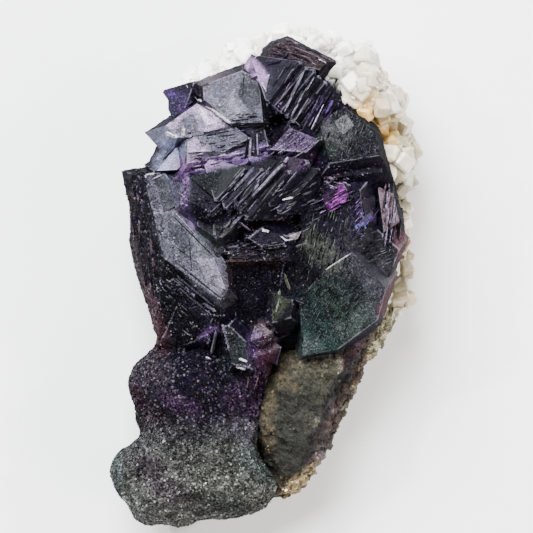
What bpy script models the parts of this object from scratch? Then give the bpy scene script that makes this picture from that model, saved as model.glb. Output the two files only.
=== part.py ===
# A hand specimen of octahedral fluorite on its rock, lying on the rock's broken back.
# +X is to the right and +Y is up the face of the specimen, and +Z points out of the table, at the viewer.
# Sizes and heights are in millimetres. MM turns them into metres, and the solids are in metres.

import itertools
import math
import random

import bmesh
import bpy
import numpy as np
from mathutils import Matrix, Vector, noise

MM = 0.001

# Driving dimensions of the whole piece.
LENGTH = 110.0
CLEARANCE = 0.3
# The crystals and the crust stay above this level, and only the rock reaches the table.
LOWEST_CRYSTAL = 1.0

# Places are read off the front view, which is 500 steps long: (x to the right, y down).
SPOT = LENGTH / 500
SPOT_ORIGIN = (266, 282)

# Points closer than this are one point, and faces that bend less than this are one face.
WELD_DISTANCE = 0.003
FLATNESS = math.radians(0.4)

# Crystals with one broad face to the front. level: height in the middle of the face. lean: the way that it faces.
# tilt: how far it leans that way. girdle: how far below the level its flanks turn back under.
# Each corner of the face is (x, y, slope of the flank that starts there), going round clockwise.
FACED_CRYSTALS = {
    "left_giant": (35.0, 35, 14, 15.0, [
        (144, 177, 80), (166, 173, 76), (180, 194, 66), (226, 260, 74), (229, 288, 62), (221, 300, 43),
        (164, 258, 70)]),
    "left_ledge_upper": (34.4, 35, 8, 5.0, [(175, 271, 55), (199, 289, 60), (194, 296, 50), (173, 279, 60)]),
    "left_ledge_lower": (32.6, 35, 8, 5.0, [(201, 298, 55), (219, 313, 60), (211, 321, 50), (196, 306, 60)]),
    "left_shoulder": (29.0, 228, 38, 7.0, [
        (176, 306, 60), (218, 316, 60), (218, 330, 60), (184, 346, 60), (164, 334, 74)]),
    "blue_wing": (35.0, 100, 16, 9.0, [(157, 171, 70), (183, 139, 60), (187, 160, 60), (177, 170, 78)]),
    "blue_wing_back": (31.0, 130, 20, 7.0, [(155, 160, 78), (168, 128, 78), (186, 120, 60), (182, 160, 70)]),
    "pink_wedge": (37.4, 78, 12, 8.0, [
        (166, 126, 78), (197, 104, 66), (233, 126, 60), (204, 138, 60), (178, 138, 60)]),
    "lavender_block": (37.4, 98, 14, 12.0, [
        (203, 86, 80), (242, 71, 80), (259, 80, 72), (263, 123, 58), (232, 124, 62), (204, 100, 74)]),
    "terrace_lower": (37.6, 80, 7, 9.0, [
        (187, 140, 60), (232, 126, 60), (263, 122, 66), (268, 146, 48), (228, 158, 45), (188, 164, 60)]),
    "terrace_upper": (38.6, 76, 7, 5.0, [
        (199, 137, 60), (236, 128, 60), (250, 139, 50), (226, 151, 48), (203, 152, 60)]),
    "purple_seam_upper": (35.0, 10, 18, 8.0, [(173, 178, 66), (191, 175, 60), (190, 216, 60), (179, 208, 66)]),
    "purple_seam_lower": (34.2, 46, 16, 8.0, [(180, 208, 60), (192, 212, 60), (226, 250, 60), (218, 257, 62)]),
    "green_black_face": (39.4, 150, 10, 10.0, [
        (188, 178, 60), (247, 163, 56), (236, 190, 56), (212, 212, 50), (186, 200, 60)]),
    "rubble_step": (36.8, 200, 14, 7.0, [
        (194, 204, 56), (224, 196, 60), (236, 214, 50), (216, 238, 55), (198, 226, 60)]),
    "top_crystal_left": (38.6, 150, 16, 9.0, [
        (262, 66, 80), (284, 58, 60), (292, 78, 60), (276, 112, 60), (265, 98, 70)]),
    "brown_cap": (37.6, 72, 18, 9.0, [
        (263, 60, 80), (271, 47, 80), (287, 41, 80), (327, 62, 78), (318, 72, 60), (284, 64, 60)]),
    "pink_flake": (36.0, 160, 20, 7.0, [(246, 76, 74), (256, 62, 78), (268, 68, 60), (266, 88, 60)]),
    "right_block": (36.6, 80, 16, 9.0, [
        (318, 119, 60), (345, 108, 80), (374, 130, 80), (380, 156, 55), (330, 164, 54)]),
    "right_block_step": (34.6, 75, 12, 8.0, [(330, 150, 60), (376, 144, 82), (382, 172, 52), (334, 178, 50)]),
    "lilac_point": (38.6, 120, 10, 8.0, [(270, 150, 60), (290, 128, 60), (319, 141, 60), (306, 153, 50)]),
    "fan_face": (34.0, 205, 16, 10.0, [
        (300, 204, 60), (322, 184, 60), (360, 190, 62), (364, 236, 56), (340, 262, 56), (304, 268, 60)]),
    "fan_step": (36.0, 200, 12, 6.0, [(321, 196, 60), (343, 184, 60), (350, 196, 54), (328, 211, 54)]),
    "teal_giant": (30.6, 248, 20, 10.0, [
        (299, 298, 60), (326, 270, 60), (352, 252, 62), (386, 290, 80), (378, 320, 78), (338, 350, 74),
        (303, 357, 74)]),
    "slate_wedge": (30.4, 330, 16, 8.0, [
        (358, 244, 60), (378, 230, 62), (400, 250, 80), (386, 286, 80), (363, 264, 58)]),
    "right_column_upper": (30.4, 15, 20, 7.0, [(378, 186, 62), (394, 194, 80), (400, 222, 80), (384, 232, 60)]),
    "right_column_lower": (28.4, 10, 22, 7.0, [(382, 222, 62), (400, 214, 80), (403, 240, 80), (388, 250, 60)]),
    "dark_bar": (34.2, 85, 6, 6.0, [(228, 247, 60), (262, 243, 60), (290, 246, 62), (290, 260, 74), (230, 262, 74)]),
    "grey_roof": (35.6, 60, 12, 6.0, [(248, 238, 60), (263, 227, 60), (287, 236, 58), (284, 244, 58), (262, 247, 58)]),
    "black_hollow": (29.4, 262, 17, 8.0, [
        (230, 262, 60), (284, 260, 60), (276, 318, 60), (254, 340, 60), (236, 326, 60)]),
    "olive_chip": (31.0, 10, 16, 6.0, [(271, 292, 66), (293, 300, 60), (291, 318, 60), (272, 323, 66)]),
    "middle_slope": (31.4, 235, 14, 9.0, [
        (286, 250, 60), (306, 242, 60), (338, 262, 60), (304, 304, 60), (288, 298, 60)]),
    "grey_wedge": (31.0, 300, 13, 6.0, [
        (222, 326, 70), (229, 325, 60), (246, 342, 60), (250, 368, 66), (232, 364, 70)]),
}
UNDERCUT_SLOPE = math.radians(50)
# A face's sharp corners are taken off by a steep plane just past them, and a whole crystal's tips by a cube face.
SHARP_CORNER = math.radians(80)
TIP_SLOPE = math.radians(80)
TIP_REACH = 0.5
TIP_BLUNTING = 0.07

# Crystals that stand ridge outward. Those of one family grew parallel, so they share the ridge's direction.
# turn: that direction. rise: how far its far end climbs. roll: 0 shares the slope evenly between its two faces,
# and a positive roll makes the face on its right the steeper one.
# A member is (x, y, height of the middle of its ridge, edge length, how much longer the ridge is than the edge).
RIDGED_CRYSTALS = {
    "small_dark_tip": (250, 0, 0, [(188, 100, 34.5, 9.0, 0.0)]),
    "stepped_middle": (47, 0, 17, [
        (231, 185, 41.4, 9.3, 1.0),
        (244, 190, 41.2, 11.0, 1.5),
        (255, 187, 40.8, 8.5, 0.5),
        (262, 189, 40.6, 12.0, 3.3),
        (269, 196, 39.9, 12.0, 2.7),
        (288, 184, 39.2, 12.0, 1.7),
        (299, 192, 37.7, 12.0, 1.5),
    ]),
    "striped_top": (50, 0, 15, [
        (284, 84, 41.0, 11.0, 1.0),
        (290, 89, 40.4, 11.0, 1.0),
        (297, 93, 39.8, 10.5, 2.0),
        (303, 98, 39.0, 10.0, 2.0),
        (309, 103, 38.2, 10.0, 2.0),
    ]),
    "dark_column": (58, 0, 10, [
        (315, 109, 37.2, 9.0, 5.0),
        (323, 116, 36.4, 8.0, 5.0),
    ]),
    "pink_lumps": (20, 0, 0, [
        (262, 337, 30.0, 5.5, 0.0),
        (258, 356, 29.0, 6.0, 0.0),
        (271, 351, 28.6, 5.0, 0.0),
    ]),
}

# Rounded masses: the outline, the dome's peak, (lowest, widest and highest level), lump height, facet size.
DOME_SIDES = 72
DOME_RINGS = 8
DOME_KEPT_SHARE = 0.34
FOOT_FADE = 4.0
HEART = {
    "outline": [(152, 168), (162, 138), (180, 106), (208, 96), (250, 76), (305, 74), (344, 112), (366, 170),
                (378, 236), (368, 292), (339, 340), (289, 356), (225, 350), (160, 345), (143, 305), (131, 268),
                (126, 235), (124, 195), (132, 176)],
    "peak": (262, 215), "levels": (4.0, 15.0, 31.0), "lumps": 1.0, "facet": 3.4,
}
SUGARY_LOBE = {
    "outline": [(225, 335), (283, 350), (278, 380), (264, 420), (258, 445), (263, 462), (276, 484), (270, 497),
                (252, 513), (232, 522), (195, 521), (175, 530), (133, 530), (126, 512), (114, 492), (111, 468),
                (120, 455), (137, 444), (137, 430), (130, 410), (126, 392), (134, 370), (150, 355), (162, 343),
                (190, 330)],
    "peak": (204, 420), "levels": (3.5, 12.0, 28.0), "lumps": 1.8, "facet": 3.1,
}
ROCK_SLAB = {
    "outline": [(202, 105), (243, 78), (302, 68), (348, 82), (380, 114), (393, 155), (400, 200), (404, 236),
                (410, 264), (403, 300), (392, 330), (378, 350), (368, 372), (352, 394), (346, 412), (338, 436),
                (330, 460), (312, 484), (294, 498), (286, 507), (266, 500), (230, 507), (184, 510), (148, 505),
                (134, 478), (150, 446), (146, 410), (157, 369), (161, 318), (152, 255), (148, 200), (166, 146)],
    "peak": (266, 282), "levels": (-1.5, 6.5, 14.0), "lumps": 1.0, "facet": 5.6,
}
ROCK_SHOULDER = {
    "outline": [(252, 350), (293, 328), (339, 323), (375, 309), (400, 287), (400, 300), (389, 332), (374, 353),
                (364, 375), (348, 397), (341, 416), (333, 438), (325, 461), (307, 483), (290, 496), (273, 487),
                (256, 464), (243, 418), (248, 382)],
    "peak": (300, 396), "levels": (2.0, 7.0, 24.0), "lumps": 1.5, "facet": 3.4,
}

# The crust hugs the rim behind the crystals, from the upper left over the top and down the right side.
CRUST_PATH = [(200, 95), (214, 78), (252, 61), (300, 57), (344, 64), (370, 90), (387, 128), (394, 170), (391, 215),
              (394, 250), (387, 300), (372, 336), (358, 360)]
CRUST_LEVEL = 11.0
CRUST_BED_RADIUS = 3.6
CRUST_BED_SECTIONS = 26
CRUST_BLOCKS = 88
BLOCK_SIZES = (3.2, 5.2)
BLOCK_SKEW = 0.12
BLOCK_TILT = 0.5
BLOCK_CORNER_REACH = 0.40
# Past this share of the way round only small knobs grow.
CRUST_KNOBS_FROM = 0.56
CRUST_KNOB_SCALE = 0.5
CRUST_SEED = 11
# Large blocks that stand out: (x, y, height, size, turn).
CRUST_LANDMARKS = [
    (353, 56, 19.0, 6.2, 4), (362, 92, 25.0, 8.0, 12), (380, 108, 21.0, 6.5, 40), (203, 84, 19.0, 5.5, 20),
    (230, 64, 18.0, 5.0, 8), (246, 60, 19.5, 5.0, 5), (390, 158, 20.0, 7.0, 30), (404, 152, 15.0, 5.0, 10),
    (403, 180, 14.0, 5.0, 25), (296, 50, 17.0, 5.0, 15), (320, 52, 18.0, 5.5, 50),
]


def spot(x, y, level):
    return Vector(((x - SPOT_ORIGIN[0]) * SPOT, (SPOT_ORIGIN[1] - y) * SPOT, level))


def clear_scene():
    for leftover in list(bpy.data.objects):
        bpy.data.objects.remove(leftover, do_unlink=True)


def new_object(name, bm, collection):
    mesh = bpy.data.meshes.new(name)
    bm.to_mesh(mesh)
    bm.free()
    made = bpy.data.objects.new(name, mesh)
    collection.objects.link(made)
    return made


def new_collection(name, hidden=False):
    made = bpy.data.collections.new(name)
    made.hide_render = hidden
    bpy.context.scene.collection.children.link(made)
    return made


# Keeps the side of each plane that the normal points away from, and closes the cut.
def cut_by_planes(bm, planes):
    for normal, distance in planes:
        geometry = bm.verts[:] + bm.edges[:] + bm.faces[:]
        cut = bmesh.ops.bisect_plane(bm, geom=geometry, dist=1e-7, plane_co=normal * distance,
                                     plane_no=normal, clear_outer=True)
        rim = [e for e in cut["geom_cut"] if isinstance(e, bmesh.types.BMEdge)]
        if rim:
            bmesh.ops.contextual_create(bm, geom=rim)


# Half-spaces through the face, its flanks and their undersides. Flanks start at the edges of the face.
def faced_crystal(name, level, lean, tilt, girdle, corners, grow, collection):
    lean, tilt = math.radians(lean), math.radians(tilt)
    face = Vector((math.cos(lean) * math.sin(tilt), math.sin(lean) * math.sin(tilt), math.cos(tilt)))
    flat = [spot(x, y, level) for x, y, _ in corners]
    middle = sum(flat, Vector()) / len(flat)
    raised = [p - Vector((0, 0, face.dot(p - middle) / face.z)) for p in flat]
    planes = [(face, face.dot(middle) + grow)]
    runs = [raised[(k + 1) % len(raised)] - corner for k, corner in enumerate(raised)]
    ways_out = [Vector((-run.y, run.x, 0)).normalized() for run in runs]
    for k, corner in enumerate(raised):
        run, outward = runs[k], ways_out[k]
        slope = math.radians(corners[k][2])
        down = outward * math.cos(slope) - Vector((0, 0, math.sin(slope)))
        flank = run.cross(down).normalized()
        flank = flank if flank.dot(outward) > 0 else -flank
        planes.append((flank, flank.dot(corner) + grow))
        turn_back = corner + down * (girdle / math.sin(slope))
        under = outward * math.sin(UNDERCUT_SLOPE) - Vector((0, 0, math.cos(UNDERCUT_SLOPE)))
        planes.append((under, under.dot(turn_back) + grow))
        if ways_out[k - 1].angle(outward) > math.pi - SHARP_CORNER:
            bisector = (ways_out[k - 1] + outward).normalized()
            tip = bisector * math.sin(TIP_SLOPE) + Vector((0, 0, math.cos(TIP_SLOPE)))
            planes.append((tip, tip.dot(corner) + TIP_REACH + grow))
    bm = bmesh.new()
    bmesh.ops.create_cube(bm, size=2 * LENGTH * MM)
    cut_by_planes(bm, [(normal, distance * MM) for normal, distance in planes])
    bmesh.ops.recalc_face_normals(bm, faces=bm.faces)
    return new_object(name, bm, collection)


# The crystal's own axes: along its ridge, out through its ridge, and to the ridge's right.
def crystal_turn(turn, rise, roll):
    heading, climb = math.radians(turn), math.radians(rise)
    ridge = Vector((math.cos(heading) * math.cos(climb), math.sin(heading) * math.cos(climb), math.sin(climb)))
    upright = (Vector((0, 0, 1)) - ridge * ridge.z).normalized()
    outward = Matrix.Rotation(math.radians(roll), 3, ridge) @ upright
    aside = ridge.cross(outward)
    half = math.sqrt(0.5)
    lattice = Matrix(((half, -half, 0), (half, half, 0), (0, 0, 1)))
    return Matrix((ridge, outward, aside)).transposed() @ lattice


def ridged_crystal(name, middle, edge, longer, turned, grow, collection):
    bm = bmesh.new()
    bmesh.ops.create_cube(bm, size=4 * (edge + longer) * MM)
    ridge = Vector((1, -1, 0)).normalized()
    planes = []
    for corner in itertools.product((-1, 1), repeat=3):
        face = Vector(corner).normalized()
        reach = edge / math.sqrt(6) + abs(face.dot(ridge)) * longer / 2 + grow
        planes.append((face, reach * MM))
    for axis, sign in itertools.product(range(3), (-1, 1)):
        tip = Vector((0, 0, 0))
        tip[axis] = sign
        reach = edge / math.sqrt(2) * (1 - TIP_BLUNTING) + abs(tip.dot(ridge)) * longer / 2 + grow
        planes.append((tip, reach * MM))
    cut_by_planes(bm, planes)
    outward = turned @ Vector((1, 1, 0)).normalized()
    centre = (middle - outward * edge / 2) * MM
    bmesh.ops.transform(bm, matrix=Matrix.Translation(centre) @ turned.to_4x4(), verts=bm.verts)
    bmesh.ops.recalc_face_normals(bm, faces=bm.faces)
    return new_object(name, bm, collection)


# A closed smooth line through the outline's points, with evenly spaced points on it.
def smooth_outline(points, count):
    ring = np.array([spot(x, y, 0)[:2] for x, y in points])
    line = []
    for i in range(len(ring)):
        a, b, c, d = (ring[(i + k) % len(ring)] for k in (-1, 0, 1, 2))
        for t in np.linspace(0, 1, 12, endpoint=False):
            line.append(0.5 * (2 * b + (c - a) * t + (2 * a - 5 * b + 4 * c - d) * t * t
                               + (3 * b - a - 3 * c + d) * t ** 3))
    return walk_evenly(np.array(line + line[:1]), count, closed=True)


def walk_evenly(line, count, closed=False):
    along = np.concatenate([[0], np.cumsum(np.linalg.norm(np.diff(line, axis=0), axis=1))])
    at = np.linspace(0, along[-1], count, endpoint=not closed)
    return np.stack([np.interp(at, along, line[:, k]) for k in range(2)], axis=1)


# A dome over an outline: a flat foot, a belly at the outline itself, then rings that close in on the peak.
def dome(name, shape, grow, collection):
    rim = smooth_outline(shape["outline"], DOME_SIDES)
    centre = rim.mean(axis=0)
    peak = np.array(spot(*shape["peak"], 0)[:2])
    low, belly, high = shape["levels"]
    sections = [(0.88, low, centre), (0.97, low + 0.45 * (belly - low), centre)]
    for k in range(DOME_RINGS):
        angle = math.pi / 2 * k / DOME_RINGS
        sections.append((math.cos(angle) ** 0.8, belly + (high - belly) * math.sin(angle) ** 0.9, peak))
    bm = bmesh.new()
    loops = [[bm.verts.new((*(middle + (p - middle) * scale), level)) for p in rim]
             for scale, level, middle in sections]
    for lower, upper in zip(loops, loops[1:]):
        for i in range(DOME_SIDES):
            j = (i + 1) % DOME_SIDES
            bm.faces.new((lower[i], lower[j], upper[j], upper[i]))
    bm.faces.new(loops[0][::-1])
    bm.faces.new(loops[-1])
    bmesh.ops.recalc_face_normals(bm, faces=bm.faces)
    bmesh.ops.scale(bm, vec=(MM, MM, MM), verts=bm.verts)
    made = new_object(name, bm, collection)
    apply_modifier(made, "REMESH", mode="VOXEL", voxel_size=0.5 * shape["facet"] * MM)
    roughen(made, shape["lumps"], low)
    apply_modifier(made, "DECIMATE", ratio=DOME_KEPT_SHARE)
    swell(made, grow * 1.2)
    return made


def apply_modifier(target, kind, **settings):
    modifier = target.modifiers.new(kind.lower(), kind)
    for key, value in settings.items():
        setattr(modifier, key, value)
    bpy.context.view_layer.update()
    shaped = bpy.data.meshes.new_from_object(target.evaluated_get(bpy.context.evaluated_depsgraph_get()))
    target.modifiers.clear()
    target.data = shaped


# Lumps and small ledges, which fade out towards the flat foot.
def roughen(target, height, foot_level):
    bm = bmesh.new()
    bm.from_mesh(target.data)
    bm.normal_update()
    for vert in bm.verts:
        place = vert.co / MM
        swelling = noise.noise(place / 11.0) + 0.5 * noise.noise(place / 5.0 + Vector((7, 3, 1)))
        ledge = round(2.5 * noise.noise(place / 7.0 + Vector((2, 9, 4)))) / 2.5
        fade = min(1.0, max(0.0, (place.z - foot_level) / FOOT_FADE))
        vert.co += vert.normal * height * fade * (0.8 * swelling + 0.6 * ledge) * MM
    bm.to_mesh(target.data)
    bm.free()


def swell(target, distance):
    bm = bmesh.new()
    bm.from_mesh(target.data)
    bm.normal_update()
    for vert in bm.verts:
        vert.co += vert.normal * distance * MM
    bm.to_mesh(target.data)
    bm.free()


# One solid of pieces that grew together, less the cutters.
def fuse(name, pieces, cutters, collection):
    base, others = pieces[0], pieces[1:]
    joined = new_collection(name + "_joined", hidden=True)
    for piece in others:
        joined.objects.link(piece)
    union = base.modifiers.new("grown_together", "BOOLEAN")
    union.operation = "UNION"
    union.operand_type = "COLLECTION"
    union.collection = joined
    for k, cutter in enumerate(cutters):
        cut = base.modifiers.new(f"bed_{k}", "BOOLEAN")
        cut.operation = "DIFFERENCE"
        cut.object = cutter
    bpy.context.view_layer.update()
    mesh = bpy.data.meshes.new_from_object(base.evaluated_get(bpy.context.evaluated_depsgraph_get()))
    bm = bmesh.new()
    bm.from_mesh(mesh)
    bmesh.ops.remove_doubles(bm, verts=bm.verts, dist=WELD_DISTANCE * MM)
    bmesh.ops.dissolve_limit(bm, angle_limit=FLATNESS, verts=bm.verts, edges=bm.edges)
    bmesh.ops.triangulate(bm, faces=bm.faces)
    keep_largest_body(bm)
    for piece in pieces:
        bpy.data.objects.remove(piece, do_unlink=True)
    bpy.data.collections.remove(joined)
    return new_object(name, bm, collection)


# Chips that a cut sets free are dropped.
def keep_largest_body(bm):
    left = set(bm.verts)
    bodies = []
    while left:
        body = set()
        front = [left.pop()]
        while front:
            vert = front.pop()
            body.add(vert)
            for link in vert.link_edges:
                other = link.other_vert(vert)
                if other in left:
                    left.remove(other)
                    front.append(other)
        bodies.append(body)
    bodies.sort(key=len)
    loose = [vert for body in bodies[:-1] for vert in body]
    if loose:
        bmesh.ops.delete(bm, geom=loose, context="VERTS")


def fluorite_pieces(grow, collection):
    pieces = [dome("heart", HEART, grow, collection), dome("sugary_lobe", SUGARY_LOBE, grow, collection)]
    for name, (level, lean, tilt, girdle, corners) in FACED_CRYSTALS.items():
        pieces.append(faced_crystal(name, level, lean, tilt, girdle, corners, grow, collection))
    for family, (turn, rise, roll, members) in RIDGED_CRYSTALS.items():
        turned = crystal_turn(turn, rise, roll)
        for k, (x, y, level, edge, longer) in enumerate(members):
            middle = spot(x, y, level)
            pieces.append(ridged_crystal(f"{family}_{k}", middle, edge, longer, turned, grow, collection))
    return pieces


def rock_pieces(grow, collection):
    return [dome("slab", ROCK_SLAB, grow, collection), dome("shoulder", ROCK_SHOULDER, grow, collection)]


# A blocky crystal: a slightly skewed brick with one corner taken off.
def block(name, middle, sides, turned, collection, pick):
    bm = bmesh.new()
    bmesh.ops.create_cube(bm, size=1)
    bmesh.ops.scale(bm, vec=[s * MM for s in sides], verts=bm.verts)
    skew = Matrix.Shear("XY", 3, (pick.uniform(-BLOCK_SKEW, BLOCK_SKEW), pick.uniform(-BLOCK_SKEW, BLOCK_SKEW)))
    bmesh.ops.transform(bm, matrix=skew.to_4x4(), verts=bm.verts)
    corner = Vector((pick.choice((-1, 1)), pick.choice((-1, 1)), 1)).normalized()
    reach = BLOCK_CORNER_REACH * (sum(sides) / 3) * math.sqrt(3) * MM
    cut_by_planes(bm, [(corner, reach)])
    bmesh.ops.transform(bm, matrix=Matrix.Translation(Vector(middle) * MM) @ turned.to_4x4(), verts=bm.verts)
    bmesh.ops.recalc_face_normals(bm, faces=bm.faces)
    return new_object(name, bm, collection)


def crust_line(count):
    return walk_evenly(np.array([spot(x, y, 0)[:2] for x, y in CRUST_PATH]), count)


def crust_bed(collection):
    curve = bpy.data.curves.new("crust_bed", "CURVE")
    curve.dimensions = "3D"
    curve.bevel_depth = CRUST_BED_RADIUS * MM
    curve.bevel_resolution = 1
    curve.use_fill_caps = True
    line = crust_line(CRUST_BED_SECTIONS)
    spline = curve.splines.new("POLY")
    spline.points.add(len(line) - 1)
    for point, (x, y) in zip(spline.points, line):
        point.co = (x * MM, y * MM, CRUST_LEVEL * MM, 1)
    tube = bpy.data.objects.new("crust_bed_curve", curve)
    collection.objects.link(tube)
    bpy.context.view_layer.update()
    mesh = bpy.data.meshes.new_from_object(tube.evaluated_get(bpy.context.evaluated_depsgraph_get()))
    bpy.data.objects.remove(tube, do_unlink=True)
    bm = bmesh.new()
    bm.from_mesh(mesh)
    bmesh.ops.remove_doubles(bm, verts=bm.verts, dist=WELD_DISTANCE * MM)
    bmesh.ops.recalc_face_normals(bm, faces=bm.faces)
    return new_object("crust_bed", bm, collection)


def crust_pieces(collection):
    pick = random.Random(CRUST_SEED)
    pieces = [crust_bed(collection)]
    line = crust_line(CRUST_BLOCKS)
    for k, (x, y) in enumerate(line):
        share = k / len(line)
        size = pick.uniform(*BLOCK_SIZES) * (1.0 if share < CRUST_KNOBS_FROM else CRUST_KNOB_SCALE)
        around = math.radians(pick.uniform(-25, 120))
        ahead = line[min(k + 1, len(line) - 1)] - line[max(k - 1, 0)]
        outward = Vector((-ahead[1], ahead[0], 0)).normalized()
        reach = CRUST_BED_RADIUS * pick.uniform(0.75, 1.15)
        middle = Vector((x, y, CRUST_LEVEL)) + outward * reach * math.cos(around)
        middle.z += reach * 1.2 * math.sin(around)
        turned = Matrix.Rotation(pick.uniform(0, math.pi / 2), 3, "Z")
        turned = turned @ Matrix.Rotation(pick.uniform(-BLOCK_TILT, BLOCK_TILT), 3, "X")
        turned = turned @ Matrix.Rotation(pick.uniform(-BLOCK_TILT, BLOCK_TILT), 3, "Y")
        sides = [size * pick.uniform(0.8, 1.25) for _ in range(3)]
        pieces.append(block(f"block_{k}", middle, sides, turned, collection, pick))
    for k, (x, y, level, size, spin) in enumerate(CRUST_LANDMARKS):
        turned = Matrix.Rotation(math.radians(spin), 3, "Z") @ Matrix.Rotation(pick.uniform(-0.2, 0.2), 3, "X")
        sides = [size, size * 0.9, size * 1.1]
        pieces.append(block(f"landmark_{k}", spot(x, y, level), sides, turned, collection, pick))
    return pieces


def table_cutter(level, collection):
    bm = bmesh.new()
    bmesh.ops.create_cube(bm, size=2 * LENGTH * MM)
    bmesh.ops.translate(bm, vec=(0, 0, (level - LENGTH) * MM), verts=bm.verts)
    return new_object("table_cutter", bm, collection)


def material(name, colour, roughness):
    made = bpy.data.materials.new(name)
    made.use_nodes = True
    shader = made.node_tree.nodes["Principled BSDF"]
    shader.inputs["Base Color"].default_value = (*colour, 1)
    shader.inputs["Roughness"].default_value = roughness
    shader.inputs["Metallic"].default_value = 0.0
    return made


# The origin goes under the middle of the whole piece, at the table.
def centre_on_table(nodes):
    points = np.array([v.co for node in nodes for v in node.data.vertices])
    low, high = points.min(axis=0), points.max(axis=0)
    shift = Vector((-(low[0] + high[0]) / 2, -(low[1] + high[1]) / 2, -low[2]))
    for node in nodes:
        node.data.transform(Matrix.Translation(shift))


def main():
    clear_scene()
    specimen = new_collection("fluorite_on_matrix")
    helpers = new_collection("cutters", hidden=True)

    rock = fuse("host_rock", rock_pieces(0.0, specimen), [], specimen)
    grown_rock = fuse("rock_cutter", rock_pieces(CLEARANCE, helpers), [], helpers)
    table = table_cutter(LOWEST_CRYSTAL, helpers)
    fluorite = fuse("fluorite_crystals", fluorite_pieces(0.0, specimen), [grown_rock, table], specimen)
    grown_fluorite = fuse("fluorite_cutter", fluorite_pieces(CLEARANCE, helpers), [], helpers)
    crust = fuse("pale_crystal_crust", crust_pieces(specimen), [grown_rock, grown_fluorite, table], specimen)

    for helper in (grown_rock, grown_fluorite, table):
        helper.hide_render = True
        helper.display_type = "WIRE"
    fluorite.data.materials.append(material("fluorite", (0.035, 0.022, 0.055), 0.18))
    rock.data.materials.append(material("host_rock", (0.22, 0.20, 0.14), 0.75))
    crust.data.materials.append(material("pale_crystals", (0.80, 0.74, 0.62), 0.25))
    centre_on_table([rock, fluorite, crust])


main()
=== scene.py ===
# Fluorite on its host rock: fine surfaces, colours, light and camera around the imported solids.
import math
import random

import bmesh
import bpy
import numpy as np
from mathutils import Matrix, Vector, noise
from mathutils.bvhtree import BVHTree
from mathutils.geometry import delaunay_2d_cdt


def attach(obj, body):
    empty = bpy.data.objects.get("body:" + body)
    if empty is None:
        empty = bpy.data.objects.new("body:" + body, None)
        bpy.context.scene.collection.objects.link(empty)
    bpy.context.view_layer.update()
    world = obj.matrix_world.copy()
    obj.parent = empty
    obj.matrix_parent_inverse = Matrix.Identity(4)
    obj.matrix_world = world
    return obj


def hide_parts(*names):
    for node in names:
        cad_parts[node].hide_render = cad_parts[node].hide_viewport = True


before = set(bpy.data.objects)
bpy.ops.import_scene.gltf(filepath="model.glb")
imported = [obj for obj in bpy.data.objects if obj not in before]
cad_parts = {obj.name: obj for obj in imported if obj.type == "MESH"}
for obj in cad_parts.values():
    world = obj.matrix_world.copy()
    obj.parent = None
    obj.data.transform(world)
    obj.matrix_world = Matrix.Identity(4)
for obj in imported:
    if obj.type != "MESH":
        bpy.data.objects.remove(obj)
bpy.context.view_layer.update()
scene = bpy.context.scene
mm = 0.001
print("frame loaded")

# Places are picked on the photograph, in its own steps from the top left corner.
photo = {
    "step": 0.22 * mm,
    "overOrigin": (264.2, 279.0),
}

# Paints, mixed and tuned until areas of the render came near the photograph's.
paints = {
    "smokeBlack": "0E0B13",
    "inkBlack": "150F1F",
    "inkViolet": "1C1528",
    "nightPurple": "2E1F48",
    "slateBlue": "4D4B5D",
    "slateGreen": "4C5856",
    "ashLilac": "757082",
    "dustyPink": "9A86A9",
    "paleLilac": "C9B4D6",
    "iceLavender": "7D80A8",
    "violet": "6A4A84",
    "pinkPurple": "A87AB8",
    "magenta": "9A2CA4",
    "plum": "2B1430",
    "blueViolet": "6E66B8",
    "teal": "17251D",
    "tealShade": "182B28",
    "seaBlue": "19292C",
    "mauve": "4E3A5C",
    "grape": "3A2340",
    "pebbleGrey": "50524D",
    "slateShade": "34363F",
    "mossGrey": "565B4C",
    "roseShade": "4A3C48",
    "bottleBlack": "1B2122",
    "greenGrey": "62705E",
    "ironGrey": "36343D",
    "stoneGrey": "4C4C4F",
    "maroon": "431626",
    "rust": "4A2A1C",
    "umber": "2C2024",
    "rose": "6B5560",
    "glint": "D9D3DD",
    "milk": "F4F1EA",
    "cream": "E3D8BE",
    "honey": "C99C38",
    "tan": "8E8468",
    "sand": "9A8560",
    "olive": "57553C",
    "mudGrey": "66644F",
    "wine": "3A1A2C",
    "brickRed": "5C2E3C",
    "royalPurple": "40295F",
    "greenBlack": "10161A",
    "ashGrey": "787A72",
    "darkWine": "2E1420",
    "darkBrown": "2A1A14",
    "leafShade": "2E3428",
    "wineRed": "6A2C4A",
}


def spot(place):
    x = (place[0] - photo["overOrigin"][0]) * photo["step"]
    y = (photo["overOrigin"][1] - place[1]) * photo["step"]
    return Vector((x, y, 0))


def paint(name):
    code = paints[name]
    parts = [int(code[i:i + 2], 16) / 255 for i in (0, 2, 4)]
    return tuple(((c + 0.055) / 1.055) ** 2.4 if c > 0.04045 else c / 12.92 for c in parts)


def addNode(tree, kind, inputs=None, **settings):
    node = tree.nodes.new(kind)
    for key, value in settings.items():
        setattr(node, key, value)
    for key, value in (inputs or {}).items():
        if isinstance(value, bpy.types.NodeSocket):
            tree.links.new(value, node.inputs[key])
        else:
            node.inputs[key].default_value = value
    return node


def newMaterial(name):
    material = bpy.data.materials.new(name)
    material.use_nodes = True
    tree = material.node_tree
    return material, tree, tree.nodes["Principled BSDF"]


def newPiece(name, mesh):
    piece = bpy.data.objects.new(name, mesh)
    scene.collection.objects.link(piece)
    return piece


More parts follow.
